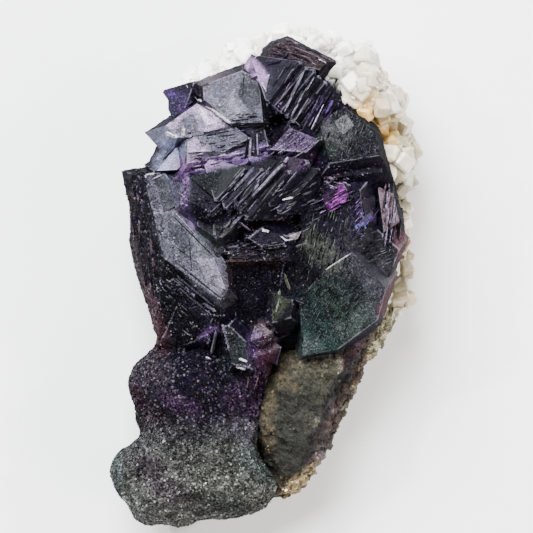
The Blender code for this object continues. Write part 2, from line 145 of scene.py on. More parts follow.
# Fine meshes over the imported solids

# A node's loose triangles, merged, with each flat face whole again and numbered.
def flatFaces(nodeName, sameWithin):
    shape = bmesh.new()
    shape.from_mesh(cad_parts[nodeName].data)
    bmesh.ops.remove_doubles(shape, verts=shape.verts, dist=0.001 * mm)
    bmesh.ops.dissolve_limit(shape, angle_limit=math.radians(0.4), verts=shape.verts, edges=shape.edges)
    number = shape.faces.layers.int.new("facet")
    for face in shape.faces:
        face[number] = -1
    count = 0
    for seed in shape.faces:
        if seed[number] >= 0:
            continue
        seed[number] = count
        waiting = [seed]
        while waiting:
            for edge in waiting.pop().edges:
                for other in edge.link_faces:
                    if other[number] < 0 and other.normal.angle(seed.normal, 0) < sameWithin:
                        other[number] = count
                        waiting.append(other)
        count += 1
    shape.faces.ensure_lookup_table()
    return shape, number, count


# Every edge is split to about the wanted spacing, and each face filled with an even net of triangles.
def refine(shape, number, spacing, hiddenSpacing, seed):
    rng = random.Random(seed)

    def wanted(face):
        return hiddenSpacing if face.normal.z < -0.15 else spacing

    for edge in list(shape.edges):
        step = min(wanted(face) for face in edge.link_faces)
        near = edge.verts[0]
        for left in range(max(1, round(edge.calc_length() / step)), 1, -1):
            near = bmesh.utils.edge_split(edge, near, 1 / left)[1]
    for face in list(shape.faces):
        if len(face.verts) == 3:
            continue
        step = wanted(face)
        normal = face.normal.copy()
        middle = face.calc_center_median()
        across = normal.orthogonal().normalized()
        along = normal.cross(across)
        ring = list(face.verts)
        rim = np.array([((v.co - middle).dot(across), (v.co - middle).dot(along)) for v in ring]) / mm
        inner = netPoints(rim, step / mm, rng)
        points = [Vector(p) for p in rim] + [Vector(p) for p in inner]
        flat = delaunay_2d_cdt(points, [], [list(range(len(ring)))], 1, 1e-5, True)
        corners = []
        for place, sources in zip(flat[0], flat[3]):
            onRim = [i for i in sources if i < len(ring)]
            if onRim:
                corners.append(ring[onRim[0]])
            else:
                corners.append(shape.verts.new(middle + (across * place.x + along * place.y) * mm))
        facet = face[number]
        shape.faces.remove(face)
        places = np.array([(place.x, place.y) for place in flat[0]])
        middles = places[np.array(flat[2])].mean(1)
        for triangle, kept in zip(flat[2], insideOutline(middles, rim)):
            chosen = [corners[i] for i in triangle]
            if kept and len(set(chosen)) == 3 and shape.faces.get(chosen) is None:
                shape.faces.new(chosen)[number] = facet
    shape.normal_update()


# Staggered rows of points that keep clear of a rim.
def netPoints(rim, step, rng):
    low, high = rim.min(0), rim.max(0)
    rise = step * math.sqrt(3) / 2
    found = []
    for row in range(int((high[1] - low[1]) / rise) + 1):
        for column in range(int((high[0] - low[0]) / step) + 1):
            x = low[0] + (column + 0.5 * (row % 2)) * step + rng.uniform(-0.12, 0.12) * step
            y = low[1] + row * rise + rng.uniform(-0.12, 0.12) * step
            found.append((x, y))
    if not found:
        return []
    found = np.array(found)
    found = found[insideOutline(found, rim)]
    gaps = np.linalg.norm(found[:, None, :] - rim[None, :, :], axis=2).min(1, initial=1e9)
    return found[gaps > 0.55 * step]


# Which of the points lie inside a closed outline.
def insideOutline(flat, outline):
    inside = np.zeros(len(flat), bool)
    for (ax, ay), (bx, by) in zip(outline, np.roll(outline, -1, axis=0)):
        crosses = (ay > flat[:, 1]) != (by > flat[:, 1])
        at = ax + (flat[:, 1] - ay) / ((by - ay) or 1e-9) * (bx - ax)
        inside ^= crosses & (flat[:, 0] < at)
    return inside


# How far each point of a mesh lies from a line drawn on the photograph, in photo steps.
def distanceToLine(flat, line):
    best = np.full(len(flat), 1e9)
    for start, end in zip(line[:-1], line[1:]):
        start, end = np.array(start, float), np.array(end, float)
        run = end - start
        share = np.clip(((flat - start) @ run) / max(run @ run, 1e-9), 0, 1)
        best = np.minimum(best, np.linalg.norm(flat - start - share[:, None] * run, axis=1))
    return best


def photoPlaces(points):
    return np.column_stack((
        points[:, 0] / photo["step"] + photo["overOrigin"][0],
        photo["overOrigin"][1] - points[:, 1] / photo["step"],
    ))


def noiseAt(points, size, seed):
    shift = Vector((seed * 3.1, seed * 1.7, seed * 2.3))
    return np.array([noise.noise(Vector(p) / size + shift) for p in points])


fluorite = {
    "spacing": 0.55 * mm,
    "hiddenSpacing": 2.2 * mm,
    "seed": 5,
    "plainFinish": {
        "tint": "inkBlack", "rough": 0.25, "grain": 0.6, "specks": 0.4, "lines": 0, "run": 45,
        "threads": 0.1},
    "sugaryFinish": {
        "tint": "inkBlack", "rough": 0.35, "grain": 1.0, "specks": 0.3, "lines": 0, "run": 45, "threads": 0},
    "brokenFinish": {"tint": "inkBlack", "rough": 0.65, "grain": 1.0, "specks": 0.5, "threads": 0.2,
    "broken": 1},
    "brokenBelow": 0.42,
    "brokenPits": [(2.2 * mm, 0.5 * mm), (0.9 * mm, 0.35 * mm)],
    "tintSpread": 0.3,
    "steepFrom": 0.3,
    "steepRange": 0.3,
    "largestLump": 16 * mm * mm,
    "lumps": [(4.5 * mm, 0.45 * mm), (1.3 * mm, 0.22 * mm)],
    "pits": [(0.9 * mm, 0.13 * mm), (2.4 * mm, 0.1 * mm)],
    "chips": 0.09 * mm,
}

# One entry for each crystal face that shows: a spot on it, its paint, and how it has grown.
# "lines" is how strongly it is striated, and "run" the angle of the lines on the photograph.
# Many of these paints are partly painted light over the crystal's own colour: faces that catch the soft box
# get paler blue-grey and lilac paint (painted sheen), and faces turned away get darker paint (painted shade).
crystalFaces = [
    {"at": (190, 235), "tint": "slateBlue", "rough": 0.34, "grain": 0.5, "specks": 0.9, "threads": 0.25},
    {"at": (150, 230), "tint": "smokeBlack", "rough": 0.6, "grain": 1.0, "specks": 0.6, "broken": 1},
    {"at": (180, 305), "tint": "smokeBlack", "rough": 0.35, "grain": 1.0, "specks": 0.4},
    {"at": (200, 325), "tint": "smokeBlack", "rough": 0.3, "grain": 1.0, "specks": 0.2},
    {"at": (140, 185), "tint": "inkBlack", "rough": 0.6, "grain": 0.8, "broken": 1},
    {"at": (130, 230), "tint": "umber", "rough": 0.6, "grain": 0.8, "broken": 1},
    {"at": (176, 105), "tint": "royalPurple", "rough": 0.25, "grain": 0.5, "threads": 0.2},
    {"at": (188, 100), "tint": "inkViolet", "rough": 0.3, "grain": 0.5},
    {"at": (180, 118), "tint": "inkViolet", "rough": 0.25, "grain": 0.4},
    {"at": (250, 100), "tint": "slateBlue", "rough": 0.36, "grain": 0.6, "specks": 0.8, "threads": 0.4},
    {"at": (220, 95), "tint": "slateBlue", "rough": 0.38, "grain": 0.6, "specks": 0.8, "threads": 0.4},
    {"at": (205, 120), "tint": "dustyPink", "rough": 0.36, "grain": 0.6, "specks": 0.45, "threads": 0.5},
    {"at": (173, 155), "tint": "iceLavender", "rough": 0.28, "grain": 0.15, "specks": 0.15},
    {"at": (165, 145), "tint": "iceLavender", "rough": 0.35, "grain": 0.5, "specks": 0.6},
    {"at": (220, 143), "tint": "slateBlue", "rough": 0.32, "grain": 0.5, "specks": 0.7, "threads": 0.3},
    {"at": (240, 140), "tint": "slateBlue", "rough": 0.32, "grain": 0.5, "specks": 0.7, "threads": 0.3},
    {"at": (215, 155), "tint": "ashLilac", "rough": 0.35, "grain": 0.6, "specks": 0.3},
    {"at": (183, 195), "tint": "royalPurple", "rough": 0.35, "grain": 0.8, "specks": 0.3},
    {"at": (205, 232), "tint": "inkViolet", "rough": 0.3, "grain": 0.6, "lines": 0.4, "run": -45},
    {"at": (212, 182), "tint": "greenBlack", "rough": 0.28, "grain": 0.3, "specks": 0.3},
    {"at": (212, 215), "tint": "inkBlack", "rough": 0.35, "grain": 1.0, "specks": 0.7},
    {"at": (290, 95), "tint": "inkBlack", "rough": 0.3, "grain": 0.5, "lines": 0.7, "run": 58},
    {"at": (275, 90), "tint": "inkViolet", "rough": 0.3, "grain": 0.5, "lines": 0.35, "run": 58},
    {"at": (300, 58), "tint": "umber", "rough": 0.4, "grain": 0.9, "specks": 0.5, "threads": 0.4},
    {"at": (350, 130), "tint": "pebbleGrey", "rough": 0.42, "grain": 1.0, "specks": 0.6, "threads": 0.4},
    {"at": (352, 158), "tint": "smokeBlack", "rough": 0.35, "grain": 0.9},
    {"at": (300, 142), "tint": "mauve", "rough": 0.4, "grain": 0.8, "specks": 0.4, "threads": 0.5},
    {"at": (330, 225), "tint": "inkBlack", "rough": 0.35, "grain": 0.6, "lines": 1.0, "run": 78},
    {"at": (330, 200), "tint": "plum", "rough": 0.35, "grain": 0.7, "lines": 0.8, "run": 28},
    {"at": (345, 310), "tint": "teal", "rough": 0.4, "grain": 0.7, "specks": 0.25, "lines": 0.3,
     "run": 60, "threads": 0.5},
    {"at": (375, 258), "tint": "smokeBlack", "rough": 0.38, "grain": 1.0, "lines": 0.7, "run": 30},
    {"at": (392, 205), "tint": "rose", "rough": 0.42, "grain": 0.7, "lines": 0.9, "run": 82},
    {"at": (394, 232), "tint": "rose", "rough": 0.42, "grain": 0.7, "lines": 0.9, "run": 82},
    {"at": (265, 236), "tint": "inkBlack", "rough": 0.25, "grain": 0.3},
    {"at": (260, 248), "tint": "inkBlack", "rough": 0.35, "grain": 0.8},
    {"at": (250, 300), "tint": "smokeBlack", "rough": 0.2, "grain": 0.25},
    {"at": (281, 306), "tint": "leafShade", "rough": 0.42, "grain": 1.0, "specks": 0.8, "lines": 0.5,
     "run": 30},
    {"at": (305, 260), "tint": "smokeBlack", "rough": 0.3, "grain": 0.7},
    {"at": (238, 345), "tint": "bottleBlack", "rough": 0.36, "grain": 0.6, "specks": 0.4, "threads": 0.3},
]

# Colour that lies across the faces: a line on the photograph, its width there, its paint and its strength.
# A soft stain fades out slowly, for a wash of colour. No stain runs down a steep wall.
crystalStains = [
    {"line": [(165, 164), (180, 146)], "wide": 18, "tint": "iceLavender", "strength": 0.6, "soft": 1},
    {"line": [(250, 116), (258, 84)], "wide": 16, "tint": "slateShade", "strength": 0.6, "soft": 1.5},
    {"line": [(212, 84), (226, 104)], "wide": 14, "tint": "ashLilac", "strength": 0.6, "soft": 1.5},
    {"line": [(232, 92), (240, 106)], "wide": 12, "tint": "ashLilac", "strength": 0.5, "soft": 1.5},
    {"line": [(205, 85), (222, 78)], "wide": 16, "tint": "roseShade", "strength": 0.5, "soft": 1.5},
    {"line": [(205, 112), (225, 124)], "wide": 10, "tint": "paleLilac", "strength": 0.25, "soft": 1.2},
    {"line": [(187, 128), (204, 121)], "wide": 13, "tint": "slateShade", "strength": 0.6, "soft": 1.2},
    {"line": [(182, 163), (190, 166), (215, 164), (262, 152)], "wide": 12, "tint": "violet",
     "strength": 0.85, "soft": 0.8},
    {"line": [(186, 168), (212, 164)], "wide": 5, "tint": "pinkPurple", "strength": 0.6, "soft": 1},
    {"line": [(168, 97), (184, 104)], "wide": 16, "tint": "royalPurple", "strength": 0.9, "soft": 0.6},
    {"line": [(188, 158), (205, 150)], "wide": 8, "tint": "dustyPink", "strength": 0.5, "soft": 1},
    {"line": [(183, 168), (182, 180)], "wide": 9, "tint": "pinkPurple", "strength": 0.6, "soft": 1},
    {"line": [(182, 180), (183, 206)], "wide": 11, "tint": "violet", "strength": 0.95, "soft": 1},
    {"line": [(184, 182), (182, 203)], "wide": 5, "tint": "pinkPurple", "strength": 0.8, "soft": 1},
    {"line": [(181, 206), (196, 232)], "wide": 6, "tint": "violet", "strength": 0.7, "soft": 1},
    {"line": [(197, 232), (224, 252)], "wide": 10, "tint": "inkViolet", "strength": 0.95},
    {"line": [(196, 262), (206, 280)], "wide": 16, "tint": "ashLilac", "strength": 0.6, "soft": 1.4},
    {"line": [(215, 285), (224, 298)], "wide": 12, "tint": "ashLilac", "strength": 0.6, "soft": 1.2},
    {"line": [(176, 190), (180, 210)], "wide": 18, "tint": "slateShade", "strength": 0.55, "soft": 1.4},
    {"line": [(157, 213), (178, 208)], "wide": 5, "tint": "ashLilac", "strength": 0.6, "soft": 1},
    {"line": [(172, 232), (205, 245)], "wide": 20, "tint": "slateGreen", "strength": 0.3, "soft": 1.5},
    {"line": [(250, 62), (262, 80)], "wide": 12, "tint": "pinkPurple", "strength": 0.8},
    {"line": [(322, 138), (330, 152)], "wide": 11, "tint": "teal", "strength": 0.7, "soft": 1.2},
    {"line": [(330, 131), (342, 136)], "wide": 14, "tint": "stoneGrey", "strength": 0.6, "soft": 1.4},
    {"line": [(350, 128), (374, 122)], "wide": 20, "tint": "bottleBlack", "strength": 0.6, "soft": 1.4},
    {"line": [(290, 165), (312, 160)], "wide": 12, "tint": "grape", "strength": 0.9, "soft": 1},
    {"line": [(330, 206), (344, 197)], "wide": 4, "tint": "magenta", "strength": 0.4, "soft": 1.2},
    {"line": [(340, 186), (345, 195)], "wide": 5, "tint": "magenta", "strength": 0.25, "soft": 1},
    {"line": [(357, 226), (371, 217)], "wide": 5, "tint": "blueViolet", "strength": 0.7, "soft": 1},
    {"line": [(363, 215), (374, 218)], "wide": 6, "tint": "violet", "strength": 0.6, "soft": 1},
    {"line": [(372, 200), (368, 214)], "wide": 5, "tint": "ashLilac", "strength": 0.5, "soft": 1},
    {"line": [(365, 262), (392, 295)], "wide": 44, "tint": "ironGrey", "strength": 0.7, "soft": 1.5},
    {"line": [(312, 335), (330, 352)], "wide": 26, "tint": "tealShade", "strength": 0.7, "soft": 1.4},
    {"line": [(294, 352), (312, 344)], "wide": 16, "tint": "slateGreen", "strength": 0.45, "soft": 1},
    {"line": [(306, 300), (318, 330)], "wide": 18, "tint": "seaBlue", "strength": 0.5, "soft": 1.4},
    {"line": [(345, 330), (366, 312)], "wide": 14, "tint": "slateGreen", "strength": 0.4, "soft": 1.4},
    {"line": [(311, 240), (332, 262)], "wide": 14, "tint": "mossGrey", "strength": 0.45, "soft": 1.4},
    {"line": [(402, 240), (408, 262)], "wide": 12, "tint": "brickRed", "strength": 0.9, "soft": 1},
    {"line": [(404, 262), (396, 285), (382, 312)], "wide": 9, "tint": "brickRed", "strength": 0.85,
     "soft": 1},
    # This black stroke darkens the recess beside the grey-green chip: painted shade.
    {"line": [(268, 288), (273, 306)], "wide": 8, "tint": "smokeBlack", "strength": 0.95},
    {"line": [(282, 326), (296, 306)], "wide": 13, "tint": "smokeBlack", "strength": 0.95},
    {"line": [(228, 262), (226, 300)], "wide": 8, "tint": "umber", "strength": 0.7, "soft": 1},
    {"line": [(232, 262), (275, 262)], "wide": 4, "tint": "rust", "strength": 0.4, "soft": 1.6},
    {"line": [(140, 290), (160, 345)], "wide": 16, "tint": "brickRed", "strength": 0.6, "soft": 1.2},
    {"line": [(127, 195), (130, 240), (137, 290)], "wide": 9, "tint": "umber", "strength": 0.8, "soft": 1},
    {"line": [(205, 338), (215, 330)], "wide": 9, "tint": "violet", "strength": 0.6, "soft": 1.2},
    {"line": [(262, 332), (268, 345)], "wide": 14, "tint": "rose", "strength": 0.7, "soft": 1.2},
    {"line": [(255, 338), (260, 368)], "wide": 12, "tint": "violet", "strength": 0.55, "soft": 1},
    {"line": [(265, 350), (262, 380)], "wide": 14, "tint": "maroon", "strength": 0.7, "soft": 1.4},
    {"line": [(252, 372), (258, 392), (256, 415)], "wide": 14, "tint": "plum", "strength": 0.8, "soft": 1.4},
    {"line": [(222, 360), (226, 370)], "wide": 9, "tint": "seaBlue", "strength": 0.6, "soft": 1.2},
    {"line": [(132, 378), (150, 372)], "wide": 22, "tint": "roseShade", "strength": 0.5, "soft": 1.6},
    {"line": [(166, 398), (192, 410)], "wide": 12, "tint": "grape", "strength": 0.9, "soft": 1.5},
    {"line": [(240, 402), (255, 418)], "wide": 20, "tint": "grape", "strength": 0.95, "soft": 1.5},
    {"line": [(128, 402), (145, 428)], "wide": 22, "tint": "wine", "strength": 0.6, "soft": 1.5},
    {"line": [(150, 425), (175, 432)], "wide": 20, "tint": "umber", "strength": 0.7, "soft": 1.6},
    {"line": [(140, 445), (200, 445), (250, 440)], "wide": 26, "tint": "ironGrey", "strength": 0.7,
     "soft": 1.6},
    {"line": [(120, 470), (190, 470), (265, 465)], "wide": 44, "tint": "pebbleGrey", "strength": 0.9,
     "soft": 1.3},
    {"line": [(130, 510), (200, 505), (255, 500)], "wide": 46, "tint": "ashGrey", "strength": 0.9,
     "soft": 1.4},
    {"line": [(145, 470), (160, 490), (180, 498)], "wide": 18, "tint": "roseShade", "strength": 0.7,
     "soft": 1.6},
    {"line": [(115, 458), (117, 492)], "wide": 9, "tint": "slateGreen", "strength": 0.8, "soft": 1.2},
    {"line": [(250, 460), (268, 476)], "wide": 20, "tint": "slateGreen", "strength": 0.8, "soft": 1.4},
    {"line": [(214, 506), (240, 512)], "wide": 14, "tint": "seaBlue", "strength": 0.6, "soft": 1.4},
    {"line": [(240, 428), (252, 440)], "wide": 12, "tint": "ashLilac", "strength": 0.6, "soft": 1.4},
]

# The lumpy lower part has no flat faces: its outline on the photograph.
sugaryPart = [(150, 345), (190, 350), (240, 362), (262, 372), (275, 440), (285, 520), (110, 540), (100, 380)]


# The finish of each numbered face, from the face that a spot on the photograph falls on.
def faceFinishes(shape, number, count, named, plain, spread, seed):
    rng = random.Random(seed)
    tree = BVHTree.FromBMesh(shape)
    finishes = []
    for _ in range(count):
        finish = dict(plain)
        finish["shade"] = 1 + rng.uniform(-spread, spread)
        finishes.append(finish)
    for entry in named:
        start = spot(entry["at"]) + Vector((0, 0, 1))
        hit = tree.ray_cast(start, Vector((0, 0, -1)))
        if hit[0] is None:
            print("nothing under", entry["at"])
            continue
        finishes[shape.faces[hit[2]][number]].update(entry)
        finishes[shape.faces[hit[2]][number]]["shade"] = 1
    return finishes, tree


# Etched faces get pits, edges get small chips, and the lumpy part is softened and swells here and there.
def roughen(shape, number, finishes, lumpy):
    lumps = [vert for vert in shape.verts if all(lumpy[face[number]] for face in vert.link_faces)]
    for _ in range(5):
        bmesh.ops.smooth_vert(shape, verts=lumps, factor=0.5, use_axis_x=True, use_axis_y=True,
            use_axis_z=True)
    shape.normal_update()
    moves = []
    for vert in shape.verts:
        facets = {face[number] for face in vert.link_faces}
        grain = sum(finishes[facet]["grain"] for facet in facets) / len(facets)
        if all(lumpy[facet] for facet in facets):
            rise = sum(noise.noise(vert.co / size) * height for size, height in fluorite["lumps"])
        elif all(finishes[facet].get("broken") for facet in facets):
            rise = -sum(abs(noise.noise(vert.co / size)) * height for size, height in fluorite["brokenPits"])
        elif len(facets) > 1:
            rise = -abs(noise.noise(vert.co / (0.7 * mm))) * fluorite["chips"]
        else:
            rise = sum(noise.noise(vert.co / size) * height for size, height in fluorite["pits"]) * grain
            rise = min(rise, 0.3 * fluorite["chips"])
        moves.append(vert.normal * rise)
    for vert, move in zip(shape.verts, moves):
        vert.co += move


def buildFluorite():
    shape, number, count = flatFaces("fluorite_crystals", math.radians(1.2))
    finishes, tree = faceFinishes(
        shape, number, count, crystalFaces, fluorite["plainFinish"], fluorite["tintSpread"], fluorite["seed"])
    sizes = np.zeros(count)
    for face in shape.faces:
        sizes[face[number]] += face.calc_area()
    middles = [Vector((0, 0, 0)) for _ in range(count)]
    for face in shape.faces:
        middles[face[number]] += face.calc_center_median() * face.calc_area() / sizes[face[number]]
    leans = np.zeros(count)
    for face in shape.faces:
        leans[face[number]] = face.normal.z
    for facet in np.nonzero(leans < fluorite["brokenBelow"])[0]:
        if "at" not in finishes[facet]:
            finishes[facet].update(fluorite["brokenFinish"])
    lumpy = insideOutline(photoPlaces(np.array(middles)), sugaryPart) & (sizes < fluorite["largestLump"])
    for facet in np.nonzero(lumpy)[0]:
        finishes[facet].update(fluorite["sugaryFinish"], shade=1)
    refine(shape, number, fluorite["spacing"], fluorite["hiddenSpacing"], fluorite["seed"])
    print("fluorite net:", len(shape.faces), "faces,", count, "facets")
    roughen(shape, number, finishes, lumpy)
    ridge = np.zeros(len(shape.verts))
    border = np.zeros(len(shape.verts), bool)
    shape.verts.index_update()
    for edge in shape.edges:
        if len(edge.link_faces) != 2:
            continue
        one, two = edge.link_faces
        edge.smooth = one[number] == two[number] or one.normal.angle(two.normal, 0) < math.radians(12)
        if one[number] != two[number]:
            pair = random.Random(one[number] * two[number] + one[number] + two[number]).random()
            turn = min(one.normal.angle(two.normal, 0), 1.0) * pair
            for vert in edge.verts:
                border[vert.index] = True
                ridge[vert.index] += turn / 2 if edge.is_convex else -turn / 2
    for face in shape.faces:
        face.smooth = True
    mesh = bpy.data.meshes.new("fluoriteCrystals")
    shape.to_mesh(mesh)
    facets = np.zeros(len(mesh.polygons), int)
    mesh.attributes["facet"].data.foreach_get("value", facets)
    shape.free()
    points = np.zeros(len(mesh.vertices) * 3)
    mesh.vertices.foreach_get("co", points)
    points = points.reshape(-1, 3)
    flat = photoPlaces(points)
    colourFacets(mesh, points, flat, facets, finishes, ridge)
    piece = newPiece("fluoriteCrystals", mesh)
    mesh.materials.append(fluoriteMaterial())
    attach(piece, "root")
    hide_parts("fluorite_crystals")
    return piece, tree


# Colours with the stains laid over them, one for each point or, where corners are given, for each corner.
def stained(colour, points, flat, stains, corners=None):
    ragged = noiseAt(points, 1.1 * mm, 4) * 2.4 + noiseAt(points, 0.5 * mm, 9) * 1.2
    for stain in stains:
        away = distanceToLine(flat, stain["line"])
        half = stain["wide"] / 2
        fade = half * stain.get("soft", 0.5)
        cover = np.clip((half * 0.75 + fade - away + ragged * min(1, half / 3)) / fade, 0,
            1) * stain["strength"]
        if corners is not None:
            cover = cover[corners]
        cover = cover[:, None]
        colour = colour * (1 - cover) + np.array(paint(stain["tint"])) * cover
    return colour


# Paint, finish and grain direction go on the corners of the faces, so that they change sharply at an edge.
def colourFacets(mesh, points, flat, facets, finishes, ridge):
    tints = np.array([np.array(paint(f["tint"])) * f["shade"] for f in finishes])
    surfaces = np.array([(f["rough"], f["grain"], f["specks"]) for f in finishes])
    corners = np.zeros(len(mesh.loops), int)
    mesh.loops.foreach_get("vertex_index", corners)
    cornerFacet = np.repeat(facets, 3)
    normals = np.zeros(len(mesh.polygons) * 3)
    mesh.polygons.foreach_get("normal", normals)
    normals = normals.reshape(-1, 3)
    steep = np.repeat(np.clip((fluorite["steepFrom"] - normals[:, 2]) / fluorite["steepRange"], 0, 1),
        3)[:, None]
    colour = stained(tints[cornerFacet], points, flat, crystalStains,
        corners) * (1 - steep) + tints[cornerFacet] * steep
    angle = np.radians([f["run"] for f in finishes])[facets]
    strength = np.array([f["lines"] for f in finishes])[facets]
    line = np.column_stack((np.cos(angle), np.sin(angle), np.zeros(len(angle))))
    across = np.cross(normals, line)
    across /= np.maximum(np.linalg.norm(across, axis=1), 1e-6)[:, None]
    across *= strength[:, None]
    threads = np.array([f["threads"] for f in finishes])[cornerFacet]
    addAttribute(mesh, "tint", "FLOAT_COLOR", "CORNER", np.column_stack((colour, threads)))
    addAttribute(mesh, "surface", "FLOAT_VECTOR", "CORNER", surfaces[cornerFacet])
    addAttribute(mesh, "across", "FLOAT_VECTOR", "CORNER", np.repeat(across, 3, axis=0))
    addAttribute(mesh, "ridge", "FLOAT", "POINT", np.clip(ridge, -1, 1))


def addAttribute(mesh, name, kind, domain, values):
    attribute = mesh.attributes.new(name, kind, domain)
    key = {"FLOAT": "value", "FLOAT_VECTOR": "vector", "FLOAT_COLOR": "color"}[kind]
    attribute.data.foreach_set(key, values.astype(np.float32).ravel())


def fluoriteMaterial():
    material, tree, shader = newMaterial("fluorite")
    place = addNode(tree, "ShaderNodeTexCoord").outputs["Object"]
    painted = addNode(tree, "ShaderNodeAttribute", attribute_name="tint").outputs
    tint, threads = painted["Color"], painted["Alpha"]
    surface = addNode(tree, "ShaderNodeAttribute", attribute_name="surface").outputs["Vector"]
    across = addNode(tree, "ShaderNodeAttribute", attribute_name="across").outputs["Vector"]
    ridge = addNode(tree, "ShaderNodeAttribute", attribute_name="ridge").outputs["Fac"]
    parts = addNode(tree, "ShaderNodeSeparateXYZ", {0: surface}).outputs
    rough, grain, specks = parts["X"], parts["Y"], parts["Z"]
    cloud = addNode(tree, "ShaderNodeTexNoise", {"Vector": place, "Scale": 300, "Detail": 6,
        "Roughness": 0.7})
    fine = addNode(tree, "ShaderNodeTexNoise", {"Vector": place, "Scale": 2400, "Detail": 3,
        "Roughness": 0.7})
    cloudShade = addNode(tree, "ShaderNodeMapRange", {
        "Value": cloud.outputs["Fac"], "From Min": 0.34, "From Max": 0.66, "To Min": 0.05, "To Max": 0.5})
    fineShade = addNode(tree, "ShaderNodeMapRange", {
        "Value": fine.outputs["Fac"], "From Min": 0.3, "From Max": 0.7, "To Min": 0.35, "To Max": 1.65})
    shade = addNode(tree, "ShaderNodeMath", {
        0: cloudShade.outputs["Result"], 1: fineShade.outputs["Result"]}, operation="MULTIPLY")
    body = addNode(tree, "ShaderNodeVectorMath", {0: tint, 1: shade.outputs[0]}, operation="MULTIPLY")
    # dark specks where the face is etched, with pale ones between
    etched = addNode(tree, "ShaderNodeTexNoise", {
        "Vector": place, "Scale": 1100, "Detail": 5, "Roughness": 0.65, "Distortion": 1.2})
    speckFac = addNode(tree, "ShaderNodeMapRange", {
        "Value": etched.outputs["Fac"], "From Min": 0.52, "From Max": 0.6, "To Min": 0, "To Max": 1})
    gathered = addNode(tree, "ShaderNodeMapRange", {
        "Value": cloud.outputs["Fac"], "From Min": 0.35, "From Max": 0.6, "To Min": 1.3, "To Max": 0.35})
    speckled = addNode(tree, "ShaderNodeMath", {0: gathered.outputs["Result"], 1: specks},
        operation="MULTIPLY")
    speckAmount = addNode(tree, "ShaderNodeMath", {
        0: speckFac.outputs["Result"], 1: speckled.outputs[0]}, operation="MULTIPLY", use_clamp=True)
    dotted = addNode(tree, "ShaderNodeMix", {
        "Factor": speckAmount.outputs[0], "A": body.outputs[0], "B": (0.003, 0.003, 0.005, 1)},
        data_type="RGBA")
    paleFac = addNode(tree, "ShaderNodeMapRange", {
        "Value": etched.outputs["Fac"], "From Min": 0.37, "From Max": 0.3, "To Min": 0, "To Max": 0.7})
    paleAmount = addNode(tree, "ShaderNodeMath", {0: paleFac.outputs["Result"], 1: specks},
        operation="MULTIPLY")
    pale = addNode(tree, "ShaderNodeMix", {
        "Factor": paleAmount.outputs[0], "A": dotted.outputs[2], "B": (0.17, 0.16, 0.2, 1)}, data_type="RGBA")
    # fine pale scratches that follow the level lines of a noise
    web = addNode(tree, "ShaderNodeTexNoise", {
        "Vector": place, "Scale": 620, "Detail": 3, "Roughness": 0.55, "Distortion": 2.2})
    offLine = addNode(tree, "ShaderNodeMath", {0: web.outputs["Fac"], 1: 0.5, 2: 0.028}, operation="COMPARE")
    broken = addNode(tree, "ShaderNodeMapRange", {
        "Value": fine.outputs["Fac"], "From Min": 0.45, "From Max": 0.6, "To Min": 0, "To Max": 1})
    webFac = addNode(tree, "ShaderNodeMath", {0: offLine.outputs[0], 1: broken.outputs["Result"]},
        operation="MULTIPLY")
    webAmount = addNode(tree, "ShaderNodeMath", {0: webFac.outputs[0], 1: threads}, operation="MULTIPLY")
    webTint = addNode(tree, "ShaderNodeVectorMath", {0: tint, 1: (1.2, 1.2, 1.2), 2: (0.06, 0.06, 0.07)},
                      operation="MULTIPLY_ADD")
    webbed = addNode(tree, "ShaderNodeMix", {
        "Factor": webAmount.outputs[0], "A": pale.outputs[2], "B": webTint.outputs[0]}, data_type="RGBA")
    # striations: ridges of uneven width across the direction kept in the mesh
    lineStrength = addNode(tree, "ShaderNodeVectorMath", {0: across}, operation="LENGTH").outputs["Value"]
    unit = addNode(tree, "ShaderNodeVectorMath", {0: across}, operation="NORMALIZE")
    along = addNode(tree, "ShaderNodeVectorMath", {0: place, 1: unit.outputs[0]}, operation="DOT_PRODUCT")
    lines = addNode(tree, "ShaderNodeTexNoise", {
        "W": along.outputs["Value"], "Scale": 1500, "Detail": 5, "Roughness": 0.7}, noise_dimensions="1D")
    lineLight = addNode(tree, "ShaderNodeMapRange", {
        "Value": lines.outputs["Fac"], "From Min": 0.54, "From Max": 0.66, "To Min": 0, "To Max": 0.8})
    lineBroken = addNode(tree, "ShaderNodeMath", {
        0: lineLight.outputs["Result"], 1: cloudShade.outputs["Result"]}, operation="MULTIPLY")
    lineAmount = addNode(tree, "ShaderNodeMath", {
        0: lineBroken.outputs[0], 1: lineStrength}, operation="MULTIPLY", use_clamp=True)
    lineTint = addNode(tree, "ShaderNodeVectorMath", {0: tint, 1: (0.9, 0.9, 0.9), 2: (0.04, 0.04, 0.05)},
                       operation="MULTIPLY_ADD")
    lined = addNode(tree, "ShaderNodeMix", {
        "Factor": lineAmount.outputs[0], "A": webbed.outputs[2], "B": lineTint.outputs[0]}, data_type="RGBA")
